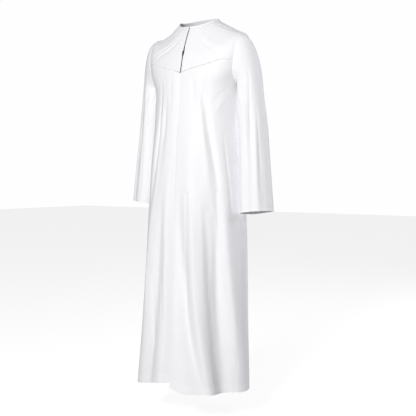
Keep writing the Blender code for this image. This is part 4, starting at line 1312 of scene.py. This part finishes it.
def colour_between(material, factor, first, second):
    """A colour that runs from the first to the second with a factor."""
    node = material.node_tree.nodes.new("ShaderNodeMix")
    node.data_type = "RGBA"
    material.node_tree.links.new(factor, node.inputs["Factor"])
    node.inputs["A"].default_value = (*first, 1.0)
    node.inputs["B"].default_value = (*second, 1.0)
    return node.outputs["Result"]


def add_bump(material, shader, height, distance):
    """A bump of one height in metres for the shader."""
    node = material.node_tree.nodes.new("ShaderNodeBump")
    node.inputs["Strength"].default_value = 1.0
    node.inputs["Distance"].default_value = distance
    material.node_tree.links.new(height, node.inputs["Height"])
    material.node_tree.links.new(node.outputs["Normal"], shader.inputs["Normal"])


NO_HEM = -1.0
COTTON_ROUGHNESS = 0.62
COTTON_SHEEN = 0.12
COTTON_SPECULAR = 0.35
PATCH_SHADE = 0.7
WEAVE_PAINTED_SHADE = 0.12
HEM_SHADE = 0.3
PATCH_ROUGHNESS = 0.14
RUMPLE_HEIGHT = 1.6
WEAVE_HEIGHT = 0.06
STITCH_DENT = 0.35
CLOTH_BUMP = 0.001


def cloth_material(name, dark, light, threads, hem_band, roughness=COTTON_ROUGHNESS, rumple=1.0):
    """Woven white cloth with rumples and, where it has one, a turned hem."""
    material, shader = new_material(name, roughness, sheen=COTTON_SHEEN, specular=COTTON_SPECULAR)
    tree = material.node_tree
    cloth_map = tree.nodes.new("ShaderNodeUVMap")
    cloth_map.uv_map = "cloth_metres"
    weave = group_node(material, weave_group, Threads=threads, Slub=SLUB)
    mottle = group_node(material, mottle_group)
    hem = group_node(material, hem_group, Band=hem_band)
    for node in (weave, mottle, hem):
        tree.links.new(cloth_map.outputs["UV"], node.inputs["Map"])
    factor = maths(tree, "MULTIPLY", mottle.outputs["Patch"], PATCH_SHADE)
    # Add the weave's painted shade, darker where the threads dip.
    factor = maths(tree, "ADD", factor, maths(tree, "MULTIPLY", weave.outputs["Painted Shade"], WEAVE_PAINTED_SHADE))
    factor = maths(tree, "ADD", factor, maths(tree, "MULTIPLY", hem.outputs["Band"], HEM_SHADE))
    tree.links.new(colour_between(material, factor, dark, light), shader.inputs["Base Color"])
    uneven = maths(tree, "MULTIPLY", mottle.outputs["Patch"], PATCH_ROUGHNESS)
    rough = maths(tree, "ADD", uneven, roughness - 0.5 * PATCH_ROUGHNESS)
    tree.links.new(rough, shader.inputs["Roughness"])
    height = maths(tree, "MULTIPLY", mottle.outputs["Rumple"], RUMPLE_HEIGHT * rumple)
    height = maths(tree, "ADD", height, maths(tree, "MULTIPLY", weave.outputs["Height"], WEAVE_HEIGHT))
    height = maths(tree, "SUBTRACT", height, maths(tree, "MULTIPLY", hem.outputs["Dent"], STITCH_DENT))
    add_bump(material, shader, height, CLOTH_BUMP)
    return material


def dress(piece, material):
    """Give a piece its material."""
    piece.data.materials.clear()
    piece.data.materials.append(material)


WHITE_DARK = (0.860, 0.865, 0.885)
WHITE_LIGHT = (0.915, 0.918, 0.930)
TAPE_DARK = (0.74, 0.74, 0.75)
TAPE_LIGHT = (0.84, 0.84, 0.85)
TAPE_ROUGHNESS = 0.75
SMOOTH_RUMPLE = 0.2
TAPE_RUMPLE = 0.1
cotton = (WHITE_DARK, WHITE_LIGHT, THREADS_A_METRE)
body_cotton = cloth_material("white_cotton", *cotton, HEM_HEIGHT)
cuff_cotton = cloth_material("white_cotton_cuffs", *cotton, CUFF_HEM_HEIGHT)
yoke_cotton = cloth_material("white_cotton_yoke", *cotton, NO_HEM)
binding_cotton = cloth_material("white_binding", *cotton, NO_HEM, rumple=SMOOTH_RUMPLE)
woven_tape = (TAPE_DARK, TAPE_LIGHT, TAPE_THREADS_A_METRE)
tape_cotton = cloth_material("white_zip_tape", *woven_tape, NO_HEM, TAPE_ROUGHNESS, TAPE_RUMPLE)
for piece in [*fronts, back]:
    dress(piece, body_cotton)
for piece in sleeves:
    dress(piece, cuff_cotton)
for piece in yokes:
    dress(piece, yoke_cotton)
dress(binding, binding_cotton)
for piece in tapes:
    dress(piece, tape_cotton)

# %% [markdown]
# ## Thread
# The sewing thread is white too, but smoother than the cloth and twisted, so a fine noise
# moves its colour along each stitch. Sharing the cloth's material would hide the rows.

# %% Thread
THREAD_DARK = (0.84, 0.84, 0.86)
THREAD_LIGHT = (0.93, 0.93, 0.94)
TWIST_SCALE = 900.0
thread_white, thread_shader = new_material("white_thread", 0.5, sheen=0.1)
thread_tree = thread_white.node_tree
thread_place = thread_tree.nodes.new("ShaderNodeTexCoord").outputs["Object"]
twist = noise(thread_tree, thread_place, TWIST_SCALE)
thread_colour = colour_between(thread_white, twist, THREAD_DARK, THREAD_LIGHT)
thread_tree.links.new(thread_colour, thread_shader.inputs["Base Color"])
for piece in (yoke_stitches, hem_stitches, lap_stitches, binding_stitches, cuff_stitches):
    dress(piece, thread_white)

# %% [markdown]
# ## Dark zip metal
# The teeth, slider and pull tab are plated in a dark bronze grey that has rubbed a little
# brighter in patches. The colour and roughness both follow one noise, so a bright patch is
# also a smoother one. The CAD slider and tab keep their own shapes and get this finish.

# %% Metal
METAL_DARK = (0.018, 0.016, 0.015)
METAL_RUBBED = (0.16, 0.12, 0.09)
RUB_SCALE = 700.0
GRAIN_ACROSS = 6000.0
GRAIN_ALONG = 900.0
GRAIN_HEIGHT = 0.3
METAL_ROUGHNESS = 0.52
RUBBED_SMOOTHNESS = 0.28
METAL_BUMP = 0.00004
zip_metal, metal_shader = new_material("dark_zip_plating", METAL_ROUGHNESS, metallic=1.0)
metal_tree = zip_metal.node_tree
metal_place = metal_tree.nodes.new("ShaderNodeTexCoord").outputs["Object"]
rub = noise(metal_tree, metal_place, RUB_SCALE, 3.0)
grain = noise(metal_tree, stretched(metal_tree, metal_place, GRAIN_ACROSS, GRAIN_ALONG), 1.0, 1.0)
metal_colour = colour_between(zip_metal, rub, METAL_DARK, METAL_RUBBED)
metal_tree.links.new(metal_colour, metal_shader.inputs["Base Color"])
smoothed = maths(metal_tree, "MULTIPLY", rub, RUBBED_SMOOTHNESS)
metal_rough = maths(metal_tree, "SUBTRACT", METAL_ROUGHNESS, smoothed)
metal_tree.links.new(metal_rough, metal_shader.inputs["Roughness"])
metal_height = maths(metal_tree, "ADD", maths(metal_tree, "MULTIPLY", grain, GRAIN_HEIGHT), rub)
add_bump(zip_metal, metal_shader, metal_height, METAL_BUMP)
dress(teeth, zip_metal)
for name in ("zip_slider", "zip_pull_tab"):
    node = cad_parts[name]
    node.data.materials.clear()
    node.data.materials.append(zip_metal)

# %% [markdown]


# %% [markdown]
# ## Stage and light
# The photograph is a high-key one on a white ground. A broad soft light stands to the left
# of the camera, and a weaker one behind the robe on the right. Large area lights give the
# folds' shadows their soft edges. A brighter sky would wash the folds out, so the ground and
# the sky are bright only to the camera.

# %% Floor and lights
FLOOR_HEIGHT = -1.46
FLOOR_REACH = 14.0
FLOOR_GREY = 0.35
FLOOR_GLOW = 0.12
FLOOR_GLOW_SEEN = 0.80
floor_mesh = bpy.data.meshes.new("floor")
floor_corners = ((-1, -1), (1, -1), (1, 1), (-1, 1))
floor_points = [(FLOOR_REACH * x, FLOOR_REACH * y, FLOOR_HEIGHT) for x, y in floor_corners]
floor_mesh.from_pydata(floor_points, [], [(0, 1, 2, 3)])
floor = bpy.data.objects.new("floor", floor_mesh)
bpy.context.scene.collection.objects.link(floor)
floor_paint, floor_shader = new_material("pale_floor", 0.9, specular=0.1)
floor_shader.inputs["Base Color"].default_value = (FLOOR_GREY, FLOOR_GREY, FLOOR_GREY, 1.0)
floor_shader.inputs["Emission Color"].default_value = (1.0, 1.0, 1.0, 1.0)
floor_glow = floor_paint.node_tree.nodes.new("ShaderNodeMapRange")
floor_glow.inputs["To Min"].default_value = FLOOR_GLOW
floor_glow.inputs["To Max"].default_value = FLOOR_GLOW_SEEN
floor_path = floor_paint.node_tree.nodes.new("ShaderNodeLightPath")
floor_paint.node_tree.links.new(floor_path.outputs["Is Camera Ray"], floor_glow.inputs["Value"])
floor_paint.node_tree.links.new(floor_glow.outputs["Result"], floor_shader.inputs["Emission Strength"])
floor.data.materials.append(floor_paint)


def soft_light(name, place, aim, size, power, colour):
    """A square area light that faces a point."""
    data = bpy.data.lights.new(name, "AREA")
    data.shape = "SQUARE"
    data.size = size
    data.energy = power
    data.color = colour
    light = bpy.data.objects.new(name, data)
    light.location = place
    light.rotation_euler = (Vector(aim) - Vector(place)).to_track_quat("-Z", "Y").to_euler()
    bpy.context.scene.collection.objects.link(light)
    return light


AIM = (0.0, 0.0, -0.6)
SKY_COLOUR = (0.955, 0.945, 1.0, 1.0)
SKY_STRENGTH = 0.22
SKY_STRENGTH_SEEN = 1.05
LIGHT_COLUMNS = ("name", "turn", "away", "height", "size", "power", "colour")
LIGHTS = (
    ("key", 16.0, 4.6, 1.2, 1.3, 192.0, (1.0, 0.995, 0.985)),
    ("fill", 150.0, 4.0, 0.5, 1.4, 90.0, (0.95, 0.94, 1.0)),
)
for row in LIGHTS:
    lamp = dict(zip(LIGHT_COLUMNS, row))
    turn = math.radians(lamp["turn"])
    place = Vector((lamp["away"] * math.sin(turn), -lamp["away"] * math.cos(turn), lamp["height"]))
    soft_light(lamp["name"], place, AIM, lamp["size"], lamp["power"], lamp["colour"])
world = bpy.data.worlds.new("studio")
world.use_nodes = True
sky = world.node_tree.nodes["Background"]
sky.inputs["Color"].default_value = SKY_COLOUR
sky_strength = world.node_tree.nodes.new("ShaderNodeMapRange")
sky_strength.inputs["To Min"].default_value = SKY_STRENGTH
sky_strength.inputs["To Max"].default_value = SKY_STRENGTH_SEEN
sky_path = world.node_tree.nodes.new("ShaderNodeLightPath")
world.node_tree.links.new(sky_path.outputs["Is Camera Ray"], sky_strength.inputs["Value"])
world.node_tree.links.new(sky_strength.outputs["Result"], sky.inputs["Strength"])
bpy.context.scene.world = world
bpy.context.scene.view_settings.view_transform = "Standard"

# %% [markdown]
# ## Camera
# The camera stands where the photograph was taken from, a little above the robe's middle
# and 36 degrees round to the wearer's left. Its place could be guessed by eye, but it was
# fitted to the outline of the shoulders, cuffs and hem. The image is 416 pixels wide.

# %% Camera
CAMERA_TURN = 36.0
CAMERA_REACH = 3.5
CAMERA_ASIDE = 0.0304
CAMERA_HEIGHT = -0.525
CAMERA_PITCH = 2.487
CAMERA_FOCAL_PIXELS = 921.0
IMAGE_PIXELS = 416.0
SENSOR_WIDTH = 36.0
camera_turn = math.radians(CAMERA_TURN)
toward_camera = Vector((math.sin(camera_turn), -math.cos(camera_turn), 0.0))
camera_right = Vector((math.cos(camera_turn), math.sin(camera_turn), 0.0))
camera_data = bpy.data.cameras.new("photo_camera")
camera_data.sensor_width = SENSOR_WIDTH
camera_data.lens = CAMERA_FOCAL_PIXELS / IMAGE_PIXELS * SENSOR_WIDTH
camera = bpy.data.objects.new("photo_camera", camera_data)
camera_level = Vector((0.0, 0.0, CAMERA_HEIGHT))
camera.location = toward_camera * CAMERA_REACH + camera_right * CAMERA_ASIDE + camera_level
camera.rotation_euler = (math.radians(90.0 - CAMERA_PITCH), 0.0, camera_turn)
bpy.context.scene.collection.objects.link(camera)
bpy.context.scene.camera = camera
print("lens", round(camera_data.lens, 2), "mm")
